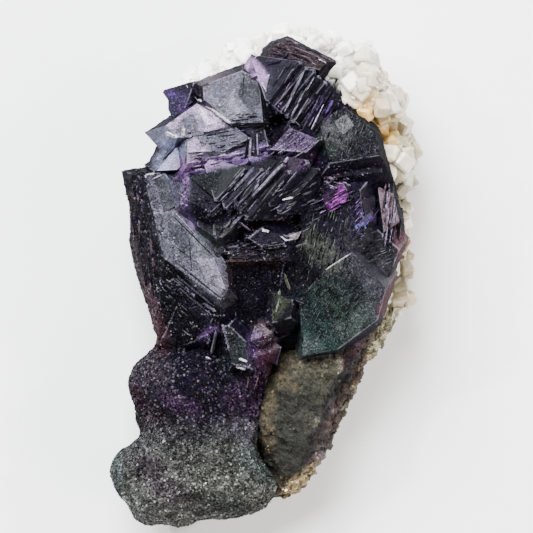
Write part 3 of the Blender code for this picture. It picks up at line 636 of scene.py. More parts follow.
    # painted highlight: convex edges between faces are mixed towards a pale lilac-grey, as if they caught the
    # light
    edgeHighlight = addNode(tree, "ShaderNodeMath", {0: ridge, 1: cloud.outputs["Fac"]}, operation="MULTIPLY")
    edgeHighlightFac = addNode(tree, "ShaderNodeMapRange", {
        "Value": edgeHighlight.outputs[0], "From Min": 0.16, "From Max": 0.6, "To Min": 0, "To Max": 0.6})
    edgeHighlighted = addNode(tree, "ShaderNodeMix", {
        "Factor": edgeHighlightFac.outputs["Result"], "A": lined.outputs[2], "B": (0.15, 0.14, 0.18, 1)},
        data_type="RGBA")
    tree.links.new(edgeHighlighted.outputs[2], shader.inputs["Base Color"])
    roughness = addNode(tree, "ShaderNodeMath", {0: fine.outputs["Fac"], 1: 0.15, 2: rough},
        operation="MULTIPLY_ADD")
    tree.links.new(roughness.outputs[0], shader.inputs["Roughness"])
    grainHeight = addNode(tree, "ShaderNodeMath", {0: fine.outputs["Fac"], 1: grain}, operation="MULTIPLY")
    lineHeight = addNode(tree, "ShaderNodeMath", {
        0: lines.outputs["Fac"], 1: lineStrength, 2: grainHeight.outputs[0]}, operation="MULTIPLY_ADD")
    bump = addNode(tree, "ShaderNodeBump", {"Height": lineHeight.outputs[0], "Strength": 1,
        "Distance": 0.35 * mm})
    tree.links.new(bump.outputs["Normal"], shader.inputs["Normal"])
    # the darkest faces mirror the dark side of the room
    depth = addNode(tree, "ShaderNodeRGBToBW", {"Color": tint})
    gloss = addNode(tree, "ShaderNodeMapRange", {
        "Value": depth.outputs[0], "From Min": 0.004, "From Max": 0.09, "To Min": 0.035, "To Max": 0.2})
    tree.links.new(gloss.outputs["Result"], shader.inputs["Specular IOR Level"])
    shader.inputs["IOR"].default_value = 1.434
    return material


fluoriteCrystals, fluoriteTree = buildFluorite()
print("fluorite done")

# Growth ridges: long thin blades that stand out of a face, all running one way

# A lone blade: its two ends on the photograph, its width there, how tall it is and its paint.
loneBlades = [
    {"ends": [(247, 169), (227, 192)], "wide": 3, "tall": 0.35, "tint": "stoneGrey"},
    {"ends": [(254, 168), (234, 191)], "wide": 5, "tall": 0.3, "tint": "slateBlue"},
    {"ends": [(264, 170), (243, 196)], "wide": 3, "tall": 0.4, "tint": "stoneGrey"},
    {"ends": [(283, 164), (252, 197)], "wide": 4.5, "tall": 0.5, "tint": "ashLilac"},
    {"ends": [(288, 158), (281, 166)], "wide": 3, "tall": 0.4, "tint": "paleLilac"},
    {"ends": [(270, 172), (247, 199)], "wide": 2.5, "tall": 0.35, "tint": "smokeBlack"},
    {"ends": [(279, 181), (262, 202)], "wide": 2, "tall": 0.4, "tint": "stoneGrey"},
    {"ends": [(245, 212), (229, 229)], "wide": 2, "tall": 0.4, "tint": "ashLilac"},
    {"ends": [(238, 202), (227, 213)], "wide": 6, "tall": 0.35, "tint": "slateBlue"},
    {"ends": [(262, 206), (249, 223)], "wide": 3, "tall": 0.4, "tint": "dustyPink"},
    {"ends": [(254, 213), (246, 226)], "wide": 2, "tall": 0.4, "tint": "rose"},
    {"ends": [(239, 222), (251, 231)], "wide": 2.5, "tall": 0.4, "tint": "dustyPink"},
    {"ends": [(282, 200), (293, 198)], "wide": 2.5, "tall": 0.4, "tint": "glint"},
    {"ends": [(276, 113), (290, 84)], "wide": 2.6, "tall": 0.45, "tint": "dustyPink"},
    {"ends": [(287, 80), (294, 70)], "wide": 2.2, "tall": 0.45, "tint": "ashLilac"},
    {"ends": [(306, 92), (314, 78)], "wide": 2, "tall": 0.45, "tint": "ashLilac"},
    {"ends": [(284, 113), (304, 72)], "wide": 3.6, "tall": 0.55, "tint": "ashLilac"},
    {"ends": [(291, 117), (304, 92)], "wide": 3.6, "tall": 0.5, "tint": "ashLilac"},
    {"ends": [(294, 122), (309, 98)], "wide": 1.6, "tall": 0.45, "tint": "ashLilac"},
    {"ends": [(299, 100), (311, 82)], "wide": 1.6, "tall": 0.45, "tint": "stoneGrey"},
    {"ends": [(311, 130), (325, 101)], "wide": 1.6, "tall": 0.45, "tint": "paleLilac"},
    {"ends": [(262, 84), (266, 92)], "wide": 3, "tall": 0.5, "tint": "glint"},
    {"ends": [(249, 71), (262, 82)], "wide": 3, "tall": 0.4, "tint": "paleLilac"},
    {"ends": [(266, 92), (268, 108)], "wide": 1.6, "tall": 0.4, "tint": "paleLilac"},
    {"ends": [(270, 55), (289, 57)], "wide": 2, "tall": 0.45, "tint": "umber"},
    {"ends": [(262, 50), (276, 41)], "wide": 2, "tall": 0.45, "tint": "roseShade"},
    {"ends": [(290, 47), (326, 62)], "wide": 2, "tall": 0.5, "tint": "rose"},
    {"ends": [(296, 54), (330, 70)], "wide": 1.6, "tall": 0.5, "tint": "inkBlack"},
    {"ends": [(318, 60), (326, 64)], "wide": 2.5, "tall": 0.5, "tint": "glint"},
    {"ends": [(326, 270), (350, 254)], "wide": 1.5, "tall": 0.4, "tint": "glint"},
    {"ends": [(176, 214), (196, 235)], "wide": 1.3, "tall": 0.3, "tint": "paleLilac"},
    {"ends": [(174, 217), (214, 257)], "wide": 1.6, "tall": 0.25, "tint": "smokeBlack"},
    {"ends": [(189, 236), (192, 274)], "wide": 1.4, "tall": 0.15, "tint": "smokeBlack"},
    {"ends": [(175, 246), (206, 270)], "wide": 1.2, "tall": 0.15, "tint": "inkViolet"},
    {"ends": [(176, 262), (222, 299)], "wide": 2.4, "tall": 0.45, "tint": "ironGrey"},
    {"ends": [(284, 273), (290, 290)], "wide": 3, "tall": 0.4, "tint": "mossGrey"},
    {"ends": [(280, 290), (276, 312)], "wide": 2.5, "tall": 0.4, "tint": "greenGrey"},
    {"ends": [(320, 213), (346, 199)], "wide": 2, "tall": 0.35, "tint": "pinkPurple"},
    {"ends": [(324, 205), (344, 192)], "wide": 2, "tall": 0.35, "tint": "magenta"},
    {"ends": [(332, 203), (338, 199)], "wide": 3, "tall": 0.45, "tint": "magenta"},
    {"ends": [(243, 98), (244, 74)], "wide": 1.4, "tall": 0.2, "tint": "smokeBlack"},
    {"ends": [(163, 160), (180, 143)], "wide": 1.4, "tall": 0.2, "tint": "inkViolet"},
    {"ends": [(187, 140), (186, 163)], "wide": 1.4, "tall": 0.3, "tint": "ashLilac"},
    {"ends": [(245, 160), (248, 138)], "wide": 2, "tall": 0.3, "tint": "smokeBlack"},
    {"ends": [(250, 158), (251, 138)], "wide": 3.5, "tall": 0.35, "tint": "ashLilac"},
    {"ends": [(255, 158), (255, 136)], "wide": 1.8, "tall": 0.3, "tint": "smokeBlack"},
    {"ends": [(258, 157), (257, 134)], "wide": 2, "tall": 0.3, "tint": "ashLilac"},
    {"ends": [(262, 156), (261, 136)], "wide": 2, "tall": 0.3, "tint": "smokeBlack"},
    {"ends": [(205, 137), (232, 131)], "wide": 2, "tall": 0.3, "tint": "smokeBlack"},
    {"ends": [(188, 134), (206, 133)], "wide": 2, "tall": 0.3, "tint": "smokeBlack"},
    {"ends": [(231, 122), (250, 120)], "wide": 2, "tall": 0.3, "tint": "smokeBlack"},
    {"ends": [(234, 128), (262, 126)], "wide": 2, "tall": 0.3, "tint": "inkBlack"},
    {"ends": [(186, 158), (206, 153)], "wide": 1.8, "tall": 0.35, "tint": "dustyPink"},
    {"ends": [(208, 158), (244, 154)], "wide": 1.8, "tall": 0.35, "tint": "ashLilac"},
    {"ends": [(198, 100), (216, 112)], "wide": 7, "tall": 0.5, "tint": "glint"},
    {"ends": [(213, 110), (231, 124)], "wide": 4.5, "tall": 0.5, "tint": "glint"},
    {"ends": [(186, 85), (197, 100)], "wide": 2.2, "tall": 0.5, "tint": "glint"},
    {"ends": [(190, 84), (201, 98)], "wide": 3, "tall": 0.4, "tint": "inkBlack"},
    {"ends": [(166, 133), (178, 138)], "wide": 7, "tall": 0.5, "tint": "glint"},
    {"ends": [(184, 128), (183, 138)], "wide": 6, "tall": 0.5, "tint": "glint"},
    {"ends": [(145, 176), (161, 173)], "wide": 3.5, "tall": 0.5, "tint": "glint"},
    {"ends": [(152, 180), (162, 175)], "wide": 2.5, "tall": 0.5, "tint": "paleLilac"},
    {"ends": [(177, 275), (214, 306)], "wide": 2.2, "tall": 0.4, "tint": "slateShade"},
    {"ends": [(204, 303), (216, 312)], "wide": 4, "tall": 0.45, "tint": "slateBlue"},
    {"ends": [(180, 288), (205, 310)], "wide": 2.5, "tall": 0.4, "tint": "ironGrey"},
    {"ends": [(236, 366), (246, 369)], "wide": 3.5, "tall": 0.5, "tint": "glint"},
    {"ends": [(239, 359), (247, 362)], "wide": 3.5, "tall": 0.5, "tint": "glint"},
    {"ends": [(211, 355), (216, 331)], "wide": 3, "tall": 0.6, "tint": "ashLilac"},
    {"ends": [(205, 358), (211, 361)], "wide": 3, "tall": 0.5, "tint": "glint"},
    {"ends": [(248, 378), (246, 391)], "wide": 1.6, "tall": 0.5, "tint": "rose"},
    {"ends": [(258, 376), (250, 398)], "wide": 1.6, "tall": 0.5, "tint": "rose"},
]

# A patch of blades: where they grow, the angle that they run at, how many there are, and their sizes in
# photo steps.
bladePatches = [
    {"within": [(186, 160), (262, 149), (262, 156), (188, 174)], "run": 10, "count": 46,
     "long": (3, 11), "wide": (0.8, 1.8), "tints": ["violet", "pinkPurple", "nightPurple", "inkViolet",
     "paleLilac"]},
    {"within": [(232, 113), (262, 112), (262, 132), (234, 130)], "run": 12, "count": 26,
     "long": (3, 9), "wide": (0.7, 1.4), "tints": ["smokeBlack", "inkBlack", "slateShade"]},
    {"within": [(206, 133), (244, 130), (240, 152), (208, 154)], "run": 10, "count": 30,
     "long": (3, 12), "wide": (0.8, 1.8), "tints": ["slateShade", "inkViolet", "ashLilac", "smokeBlack",
     "iceLavender"]},
    {"within": [(226, 240), (290, 243), (288, 262), (228, 262)], "run": 8, "count": 60,
     "long": (3, 12), "wide": (0.9, 2), "tints": ["umber", "smokeBlack", "roseShade", "stoneGrey",
     "inkBlack"]},
    {"within": [(240, 168), (285, 160), (315, 168), (262, 222), (225, 232), (212, 212)], "run": 47,
     "count": 80,
     "long": (4, 18), "wide": (0.9, 2), "tints": ["stoneGrey", "smokeBlack", "smokeBlack", "ironGrey",
     "ashLilac"]},
    {"within": [(272, 190), (315, 182), (325, 212), (300, 236), (270, 228)], "run": 28, "count": 90,
     "long": (3, 12), "wide": (0.8, 1.6), "tints": ["stoneGrey", "smokeBlack", "smokeBlack", "ashLilac",
     "inkViolet"]},
    {"within": [(268, 92), (286, 64), (328, 74), (318, 130), (290, 126)], "run": 58, "count": 60,
     "long": (4, 20), "wide": (0.8, 1.6), "tints": ["ironGrey", "smokeBlack", "smokeBlack", "slateBlue",
     "inkViolet"]},
    {"within": [(308, 96), (330, 92), (330, 118), (312, 138)], "run": 58, "count": 26,
     "long": (6, 18), "wide": (0.9, 1.8), "tints": ["plum", "smokeBlack", "royalPurple", "nightPurple",
     "inkViolet"]},
    {"within": [(270, 92), (300, 122), (290, 136), (268, 122)], "run": -45, "count": 30,
     "long": (4, 14), "wide": (0.9, 1.8), "tints": ["mauve", "smokeBlack", "inkViolet", "ashLilac"]},
    {"within": [(268, 132), (320, 130), (312, 158), (266, 158)], "run": 35, "count": 46,
     "long": (3, 12), "wide": (0.8, 1.6), "tints": ["mauve", "smokeBlack", "nightPurple", "dustyPink",
     "ashLilac"]},
    {"within": [(305, 215), (350, 212), (345, 262), (305, 285), (296, 250)], "run": 76, "count": 120,
     "long": (3, 15), "wide": (0.8, 1.5), "tints": ["smokeBlack", "smokeBlack", "smokeBlack", "umber",
     "stoneGrey", "bottleBlack", "greenGrey"]},
    {"within": [(318, 190), (350, 184), (352, 200), (326, 214)], "run": 28, "count": 40,
     "long": (4, 16), "wide": (0.8, 1.6), "tints": ["plum", "magenta", "smokeBlack", "mauve", "umber"]},
    {"within": [(318, 178), (345, 172), (352, 186), (325, 192)], "run": -20, "count": 24,
     "long": (3, 8), "wide": (1.2, 2.2), "tints": ["dustyPink", "smokeBlack", "rose", "ashLilac"]},
    {"within": [(350, 195), (378, 190), (376, 232), (352, 240)], "run": 50, "count": 60,
     "long": (3, 11), "wide": (0.8, 1.8), "tints": ["inkViolet", "mauve", "violet", "smokeBlack",
     "smokeBlack", "ironGrey"]},
    {"within": [(354, 215), (375, 210), (373, 232), (357, 240)], "run": 50, "count": 34,
     "long": (3, 10), "wide": (0.8, 1.8), "tints": ["blueViolet", "violet", "iceLavender", "smokeBlack"]},
    {"within": [(384, 186), (396, 192), (402, 236), (390, 248), (382, 225)], "run": 84, "count": 60,
     "long": (8, 24), "wide": (0.9, 1.8), "tints": ["rose", "dustyPink", "umber", "smokeBlack"]},
    {"within": [(358, 240), (378, 230), (400, 250), (384, 284), (362, 262)], "run": 20, "count": 50,
     "long": (3, 11), "wide": (0.8, 1.6), "tints": ["slateShade", "stoneGrey", "smokeBlack", "smokeBlack"]},
    {"within": [(128, 190), (140, 180), (160, 262), (150, 300), (134, 250)], "run": 98, "count": 50,
     "long": (4, 16), "wide": (0.9, 2), "tints": ["smokeBlack", "umber", "inkViolet", "rose"]},
    {"within": [(262, 42), (290, 40), (330, 60), (328, 74), (290, 56), (266, 56)], "run": -24, "count": 44,
     "long": (4, 16), "wide": (0.9, 2), "tints": ["roseShade", "smokeBlack", "umber", "rose", "inkBlack"]},
    {"within": [(325, 112), (362, 112), (374, 150), (325, 158)], "run": 70, "count": 60,
     "long": (2, 8), "wide": (0.7, 1.4), "tints": ["stoneGrey", "smokeBlack", "smokeBlack", "ironGrey",
     "mossGrey"]},
    {"within": [(150, 262), (175, 262), (222, 318), (190, 338), (165, 320)], "run": -40, "count": 60,
     "long": (3, 12), "wide": (0.9, 1.8), "tints": ["slateShade", "smokeBlack", "smokeBlack", "stoneGrey"]},
    {"within": [(255, 335), (275, 330), (262, 420), (252, 400)], "run": 80, "count": 26,
     "long": (4, 14), "wide": (1, 2), "tints": ["mauve", "maroon", "rose", "inkViolet"]},
    {"within": [(305, 285), (350, 262), (375, 300), (330, 345), (305, 345)], "run": 60, "count": 60,
     "long": (3, 12), "wide": (0.6, 1.1), "tints": ["slateGreen", "tealShade", "smokeBlack", "stoneGrey"]},
]

# Thin plates that a face has grown on top: the outline on the photograph, how far the plate stands out,
# its paint.
growthPlates = [
    {"rim": [(189, 177), (212, 173), (244, 166), (232, 182), (218, 201), (203, 190)], "tall": 0.35,
     "tint": "greenBlack"},
    {"rim": [(213, 224), (226, 228), (234, 226), (222, 237), (213, 234)], "tall": 0.4, "tint": "stoneGrey"},
    {"rim": [(226, 204), (236, 199), (240, 206), (229, 214)], "tall": 0.45, "tint": "slateBlue"},
    {"rim": [(279, 236), (289, 236), (301, 231), (297, 239), (285, 241)], "tall": 0.5, "tint": "glint"},
    {"rim": [(262, 229), (269, 231), (268, 233), (262, 232)], "tall": 0.5, "tint": "glint"},
    {"rim": [(188, 142), (196, 136), (208, 152), (188, 153)], "tall": 0.4, "tint": "dustyPink"},
    {"rim": [(190, 129), (204, 133), (206, 145), (192, 136)], "tall": 0.3, "tint": "slateBlue"},
    {"rim": [(246, 66), (258, 56), (262, 76), (252, 80)], "tall": 0.45, "tint": "pinkPurple"},
    {"rim": [(256, 80), (270, 76), (266, 92)], "tall": 0.45, "tint": "dustyPink"},
    {"rim": [(266, 52), (289, 55), (280, 64), (268, 67)], "tall": 0.45, "tint": "inkBlack"},
    {"rim": [(156, 176), (168, 180), (176, 206), (164, 212)], "tall": 0.25, "tint": "slateShade"},
    {"rim": [(169, 180), (184, 184), (186, 206), (176, 208)], "tall": 0.2, "tint": "slateBlue"},
    {"rim": [(196, 258), (214, 258), (226, 290), (206, 282)], "tall": 0.25, "tint": "ashLilac"},
    {"rim": [(360, 200), (372, 196), (374, 208), (364, 216)], "tall": 0.4, "tint": "inkViolet"},
    {"rim": [(210, 85), (226, 77), (238, 81), (228, 99), (213, 98)], "tall": 0.1, "tint": "slateBlue"},
    {"rim": [(241, 84), (257, 86), (260, 104), (247, 109), (238, 96)], "tall": 0.12, "tint": "slateShade"},
    {"rim": [(224, 105), (240, 110), (238, 121), (227, 120)], "tall": 0.1, "tint": "ashLilac"},
    {"rim": [(196, 108), (211, 112), (223, 122), (207, 126)], "tall": 0.12, "tint": "paleLilac"},
    {"rim": [(181, 122), (193, 114), (198, 124), (187, 131)], "tall": 0.1, "tint": "slateBlue"},
    {"rim": [(168, 222), (182, 226), (196, 246), (185, 252), (171, 240)], "tall": 0.1, "tint": "slateShade"},
    {"rim": [(178, 254), (192, 256), (198, 270), (186, 268)], "tall": 0.1, "tint": "slateBlue"},
    {"rim": [(208, 284), (219, 280), (227, 295), (216, 298)], "tall": 0.12, "tint": "ashLilac"},
    {"rim": [(334, 122), (346, 114), (354, 126), (342, 136)], "tall": 0.12, "tint": "stoneGrey"},
    {"rim": [(340, 286), (356, 276), (366, 292), (352, 304)], "tall": 0.08, "tint": "bottleBlack"},
]

# Small crystals beside the large ones: each corner's place on the photograph and its level.
sideCrystals = [
    {"corners": [
        (168, 96, 33.4 * mm), (180, 94, 34.7 * mm), (193, 102, 36.5 * mm), (181, 113, 35.4 * mm), (172,
        118, 34.5 * mm),
        (168, 109, 33.7 * mm), (172, 100, 20 * mm), (186, 98, 16 * mm), (186, 112, 16 * mm), (176, 115,
        20 * mm),
    ], "tint": "nightPurple"},
]

bladeShape = {
    "profile": [(-0.5, -0.7), (-0.3, 0.8), (0.12, 1.0), (0.5, -0.7)],
    "stations": [(0, 0.35), (0.14, 1), (0.86, 0.9), (1, 0.3)],
    "patchTall": (0.12, 0.42),
    "surface": (0.3, 0.6, 0.45),
    "threads": 0.3,
    "sunk": 0.5 * mm,
    "turnSpread": 5,
    "seed": 21,
}


# Where a plumb line through a spot on the photograph meets the crystals, and how the surface leans there.
def onCrystals(place):
    found = fluoriteTree.ray_cast(spot(place) + Vector((0, 0, 1)), Vector((0, 0, -1)))
    return found[0], found[1]


def addBlade(shape, layers, ends, wide, tall, tint):
    (low, lowNormal), (high, highNormal) = onCrystals(ends[0]), onCrystals(ends[1])
    if low is None or high is None or (high - low).length < 0.2 * mm:
        return
    along = high - low
    if abs(along.normalized().z) > 0.75:
        return
    upright = lowNormal + highNormal
    upright = (upright - along.normalized() * upright.dot(along.normalized())).normalized()
    aside = along.normalized().cross(upright)
    rings = []
    for share, swell in bladeShape["stations"]:
        middle = low + along * share
        rings.append([
            shape.verts.new(
                middle + aside * across * wide * swell * photo["step"] + upright * rise * tall * swell * mm)
            for across, rise in bladeShape["profile"]])
    faces = [shape.faces.new(rings[0][::-1]), shape.faces.new(rings[-1])]
    sides = len(bladeShape["profile"])
    for near, far in zip(rings[:-1], rings[1:]):
        for k in range(sides):
            faces.append(shape.faces.new((near[k], near[(k + 1) % sides], far[(k + 1) % sides], far[k])))
    bmesh.ops.recalc_face_normals(shape, faces=faces)
    colourLoose(faces, layers, tint)


def colourLoose(faces, layers, tint):
    colour = (*paint(tint), bladeShape["threads"])
    for face in faces:
        for corner in face.loops:
            corner[layers["tint"]] = colour
            corner[layers["surface"]] = bladeShape["surface"]


def addPlate(shape, layers, plate):
    rim = plate["rim"] if signedArea(plate["rim"]) > 0 else plate["rim"][::-1]
    landed = [onCrystals(place) for place in rim]
    if any(place is None for place, _ in landed):
        return
    upright = sum((normal for _, normal in landed), Vector()).normalized()
    top = [shape.verts.new(place + upright * plate["tall"] * mm) for place, _ in landed]
    foot = [shape.verts.new(place - upright * bladeShape["sunk"]) for place, _ in landed]
    faces = [shape.faces.new(top), shape.faces.new(foot[::-1])]
    for k in range(len(top)):
        after = (k + 1) % len(top)
        faces.append(shape.faces.new((top[k], foot[k], foot[after], top[after])))
    colourLoose(faces, layers, plate["tint"])


def addSideCrystal(shape, layers, crystal):
    corners = [shape.verts.new(spot((x, y)) + Vector((0, 0, level))) for x, y, level in crystal["corners"]]
    hull = bmesh.ops.convex_hull(shape, input=corners)["geom"]
    faces = [item for item in hull if isinstance(item, bmesh.types.BMFace)]
    bmesh.ops.recalc_face_normals(shape, faces=faces)
    colourLoose(faces, layers, crystal["tint"])


# Positive where an outline on the photograph runs anticlockwise as seen on the specimen.
def signedArea(rim):
    return sum(bx * ay - ax * by for (ax, ay), (bx, by) in zip(rim, rim[1:] + rim[:1]))


def buildBlades():
    rng = random.Random(bladeShape["seed"])
    shape = bmesh.new()
    layers = {
        "tint": shape.loops.layers.float_color.new("tint"),
        "surface": shape.loops.layers.float_vector.new("surface"),
    }
    for plate in growthPlates:
        addPlate(shape, layers, plate)
    for crystal in sideCrystals:
        addSideCrystal(shape, layers, crystal)
    for blade in loneBlades:
        addBlade(shape, layers, blade["ends"], blade["wide"], blade["tall"], blade["tint"])
    for patch in bladePatches:
        outline = np.array(patch["within"], float)
        low, high = outline.min(0), outline.max(0)
        made = 0
        while made < patch["count"]:
            middle = np.array([[rng.uniform(low[0], high[0]), rng.uniform(low[1], high[1])]])
            if not insideOutline(middle, outline)[0]:
                continue
            made += 1
            angle = math.radians(patch["run"] + rng.uniform(-1, 1) * bladeShape["turnSpread"])
            half = np.array((math.cos(angle), -math.sin(angle))) * rng.uniform(*patch["long"]) / 2
            ends = [tuple(middle[0] - half), tuple(middle[0] + half)]
            tall = rng.uniform(*bladeShape["patchTall"])
            addBlade(shape, layers, ends, rng.uniform(*patch["wide"]), tall, rng.choice(patch["tints"]))
    mesh = bpy.data.meshes.new("growthBlades")
    shape.to_mesh(mesh)
    shape.free()
    mesh.materials.append(fluoriteCrystals.data.materials[0])
    piece = newPiece("growthBlades", mesh)
    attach(piece, "root")
    print("growth blades", len(mesh.polygons), "faces")


buildBlades()

# Small crystals strewn over a surface

strewnInputs = [
    ("Geometry", "NodeSocketGeometry", None),
    ("Shape", "NodeSocketObject", None),
    ("Per square metre", "NodeSocketFloat", 1e6),
    ("Smallest", "NodeSocketFloat", 0.5),
    ("Largest", "NodeSocketFloat", 1.0),
    ("Tilt", "NodeSocketFloat", 0.5),
    ("Seed", "NodeSocketInt", 1),
    ("Finish", "NodeSocketMaterial", None),
]


# Points fall where the mesh says so in "strewn", each takes a small shape, turned and sized at random.
def strewnTree():
    tree = bpy.data.node_groups.new("strewnCrystals", "GeometryNodeTree")
    for name, kind, start in strewnInputs:
        socket = tree.interface.new_socket(name, in_out="INPUT", socket_type=kind)
        if start is not None:
            socket.default_value = start
    tree.interface.new_socket("Geometry", in_out="OUTPUT", socket_type="NodeSocketGeometry")
    given = tree.nodes.new("NodeGroupInput").outputs
    where = addNode(tree, "GeometryNodeInputNamedAttribute", {"Name": "strewn"}, data_type="FLOAT")
    density = addNode(tree, "ShaderNodeMath", {
        0: where.outputs["Attribute"], 1: given["Per square metre"]}, operation="MULTIPLY")
    points = addNode(tree, "GeometryNodeDistributePointsOnFaces", {
        "Mesh": given["Geometry"], "Density": density.outputs[0], "Seed": given["Seed"]})
    turn = addNode(tree, "FunctionNodeRandomValue", {
        "Min": (-1, -1, -3.2), "Max": (1, 1, 3.2), "Seed": given["Seed"]}, data_type="FLOAT_VECTOR")
    leaning = addNode(tree, "ShaderNodeCombineXYZ", {"X": given["Tilt"], "Y": given["Tilt"], "Z": 1})
    tilted = addNode(tree, "ShaderNodeVectorMath", {
        0: turn.outputs["Value"], 1: leaning.outputs[0]}, operation="MULTIPLY")
    rotation = addNode(tree, "FunctionNodeEulerToRotation", {"Euler": tilted.outputs[0]})
    turned = addNode(tree, "FunctionNodeRotateRotation", {
        "Rotation": points.outputs["Rotation"], "Rotate By": rotation.outputs[0]}, rotation_space="LOCAL")
    size = addNode(tree, "FunctionNodeRandomValue", {
        2: given["Smallest"], 3: given["Largest"], "Seed": given["Seed"]}, data_type="FLOAT")
    shape = addNode(tree, "GeometryNodeObjectInfo", {"Object": given["Shape"]})
    placed = addNode(tree, "GeometryNodeInstanceOnPoints", {
        "Points": points.outputs["Points"], "Instance": shape.outputs["Geometry"],
        "Rotation": turned.outputs[0], "Scale": size.outputs[1]})
    real = addNode(tree, "GeometryNodeRealizeInstances", {"Geometry": placed.outputs[0]})
    finished = addNode(tree, "GeometryNodeSetMaterial", {"Geometry": real.outputs[0],
        "Material": given["Finish"]})
    result = tree.nodes.new("NodeGroupOutput")
    tree.links.new(finished.outputs[0], result.inputs[0])
    return tree


def strew(name, bed, choices):
    holder = newPiece(name + "Bed", bed)
    modifier = holder.modifiers.new("strewn", "NODES")
    modifier.node_group = crystalStrewer
    for item in crystalStrewer.interface.items_tree:
        if item.in_out == "INPUT" and item.name in choices:
            modifier[item.identifier] = choices[item.name]
    ready = holder.evaluated_get(bpy.context.evaluated_depsgraph_get())
    mesh = bpy.data.meshes.new_from_object(ready)
    bpy.data.objects.remove(holder)
    mesh.name = name
    piece = newPiece(name, mesh)
    print(name, len(mesh.polygons), "faces")
    return piece


def hiddenShape(name, build):
    shape = bmesh.new()
    build(shape)
    mesh = settledMesh(name, shape)
    shape.free()
    return bpy.data.objects.new(name, mesh)


# Bevels leave their faces in a different order each time: here they are put in one that stays.
def settledMesh(name, shape):
    shape.verts.index_update()
    faces = []
    for face in shape.faces:
        ring = [vert.index for vert in face.verts]
        first = ring.index(min(ring))
        faces.append(ring[first:] + ring[:first])
    mesh = bpy.data.meshes.new(name)
    mesh.from_pydata([vert.co for vert in shape.verts], [], sorted(faces))
    return mesh


# A small octahedron of one unit across.
def octahedron(shape):
    ring = [shape.verts.new((math.cos(turn) / 2, math.sin(turn) / 2, 0)) for turn in np.radians((0, 90,
        180, 270))]
    top, low = shape.verts.new((0, 0, 0.5)), shape.verts.new((0, 0, -0.5))
    for k in range(4):
        shape.faces.new((ring[k], ring[(k + 1) % 4], top))
        shape.faces.new((ring[(k + 1) % 4], ring[k], low))


# Each small crystal takes its own shade, and a few are mixed towards a pale paint: on the fluorite this is a
# painted glint, for crystals that would catch the light; on the rock and crust it gives paler grains.
def shadeCrystals(mesh, shapePoints, shades):
    tint = mesh.attributes["tint"].data
    colour = np.zeros(len(tint) * 4)
    tint.foreach_get("color", colour)
    colour = colour.reshape(-1, 4)
    count = len(mesh.vertices) // shapePoints
    rng = np.random.default_rng(shades["seed"])
    factor = np.exp(rng.normal(-shades["spread"] ** 2 / 2, shades["spread"], count))
    paleGrainsAndGlints = (rng.random(count) < shades["paleShare"]) * shades["paleStrength"] * rng.random(count)
    perShape = len(colour) // count
    factor, paleGrainsAndGlints = np.repeat(factor, perShape)[:, None], np.repeat(paleGrainsAndGlints, perShape)[:, None]
    colour[:, :3] = colour[:, :3] * factor * (1 - paleGrainsAndGlints) + np.array(paint(shades["pale"])) * paleGrainsAndGlints
    tint.foreach_set("color", np.clip(colour, 0, 1).astype(np.float32).ravel())


crystalStrewer = strewnTree()

# A few of these crystals are painted pale with the glint paint: painted highlights, as if they caught the
# light.
sugarCrystals = {
    "perSquareMetre": 9e6,
    "smallest": 0.3 * mm,
    "largest": 0.95 * mm,
    "tilt": 0.9,
    "seed": 3,
    "shades": {"seed": 4, "spread": 0.9, "paleShare": 0.18, "paleStrength": 0.18, "pale": "glint"},
}

# A finer crop of the same, as glitter between the large crystals, with painted glints on a few of them.
glitter = {
    "perSquareMetre": 1.1e7,
    "smallest": 0.25 * mm,
    "largest": 0.7 * mm,
    "tilt": 0.9,
    "seed": 6,
    "shades": {"seed": 7, "spread": 1.0, "paleShare": 0.14, "paleStrength": 0.3, "pale": "glint"},
}

# Where small crystals also grow between the large ones: a line on the photograph, its width and how thick
# they are.
rubble = [
    {"line": [(228, 250), (290, 254)], "wide": 18, "amount": 0.5},
    {"line": [(142, 185), (148, 240), (160, 300), (180, 335)], "wide": 34, "amount": 0.6},
    {"line": [(170, 262), (185, 300), (215, 328)], "wide": 40, "amount": 0.45},
    {"line": [(200, 208), (225, 222)], "wide": 18, "amount": 0.6},
    {"line": [(240, 215), (262, 240)], "wide": 22, "amount": 0.35},
    {"line": [(270, 135), (300, 160)], "wide": 26, "amount": 0.3},
    {"line": [(356, 205), (352, 240)], "wide": 24, "amount": 0.3},
    {"line": [(230, 255), (270, 320)], "wide": 40, "amount": 0.08},
    {"line": [(284, 250), (286, 290)], "wide": 22, "amount": 0.4},
    {"line": [(325, 164), (375, 168)], "wide": 16, "amount": 0.35},
    {"line": [(184, 182), (183, 206)], "wide": 8, "amount": 0.8},
    {"line": [(322, 185), (334, 178)], "wide": 10, "amount": 0.6},
    {"line": [(236, 225), (254, 236)], "wide": 9, "amount": 0.6},
    {"line": [(262, 335), (255, 372)], "wide": 18, "amount": 0.7},
    {"line": [(292, 245), (300, 290)], "wide": 22, "amount": 0.35},
    {"line": [(268, 116), (300, 128)], "wide": 10, "amount": 0.5},
    {"line": [(335, 98), (345, 108)], "wide": 10, "amount": 0.8},
    {"line": [(232, 330), (226, 350)], "wide": 8, "amount": 0.5},
]


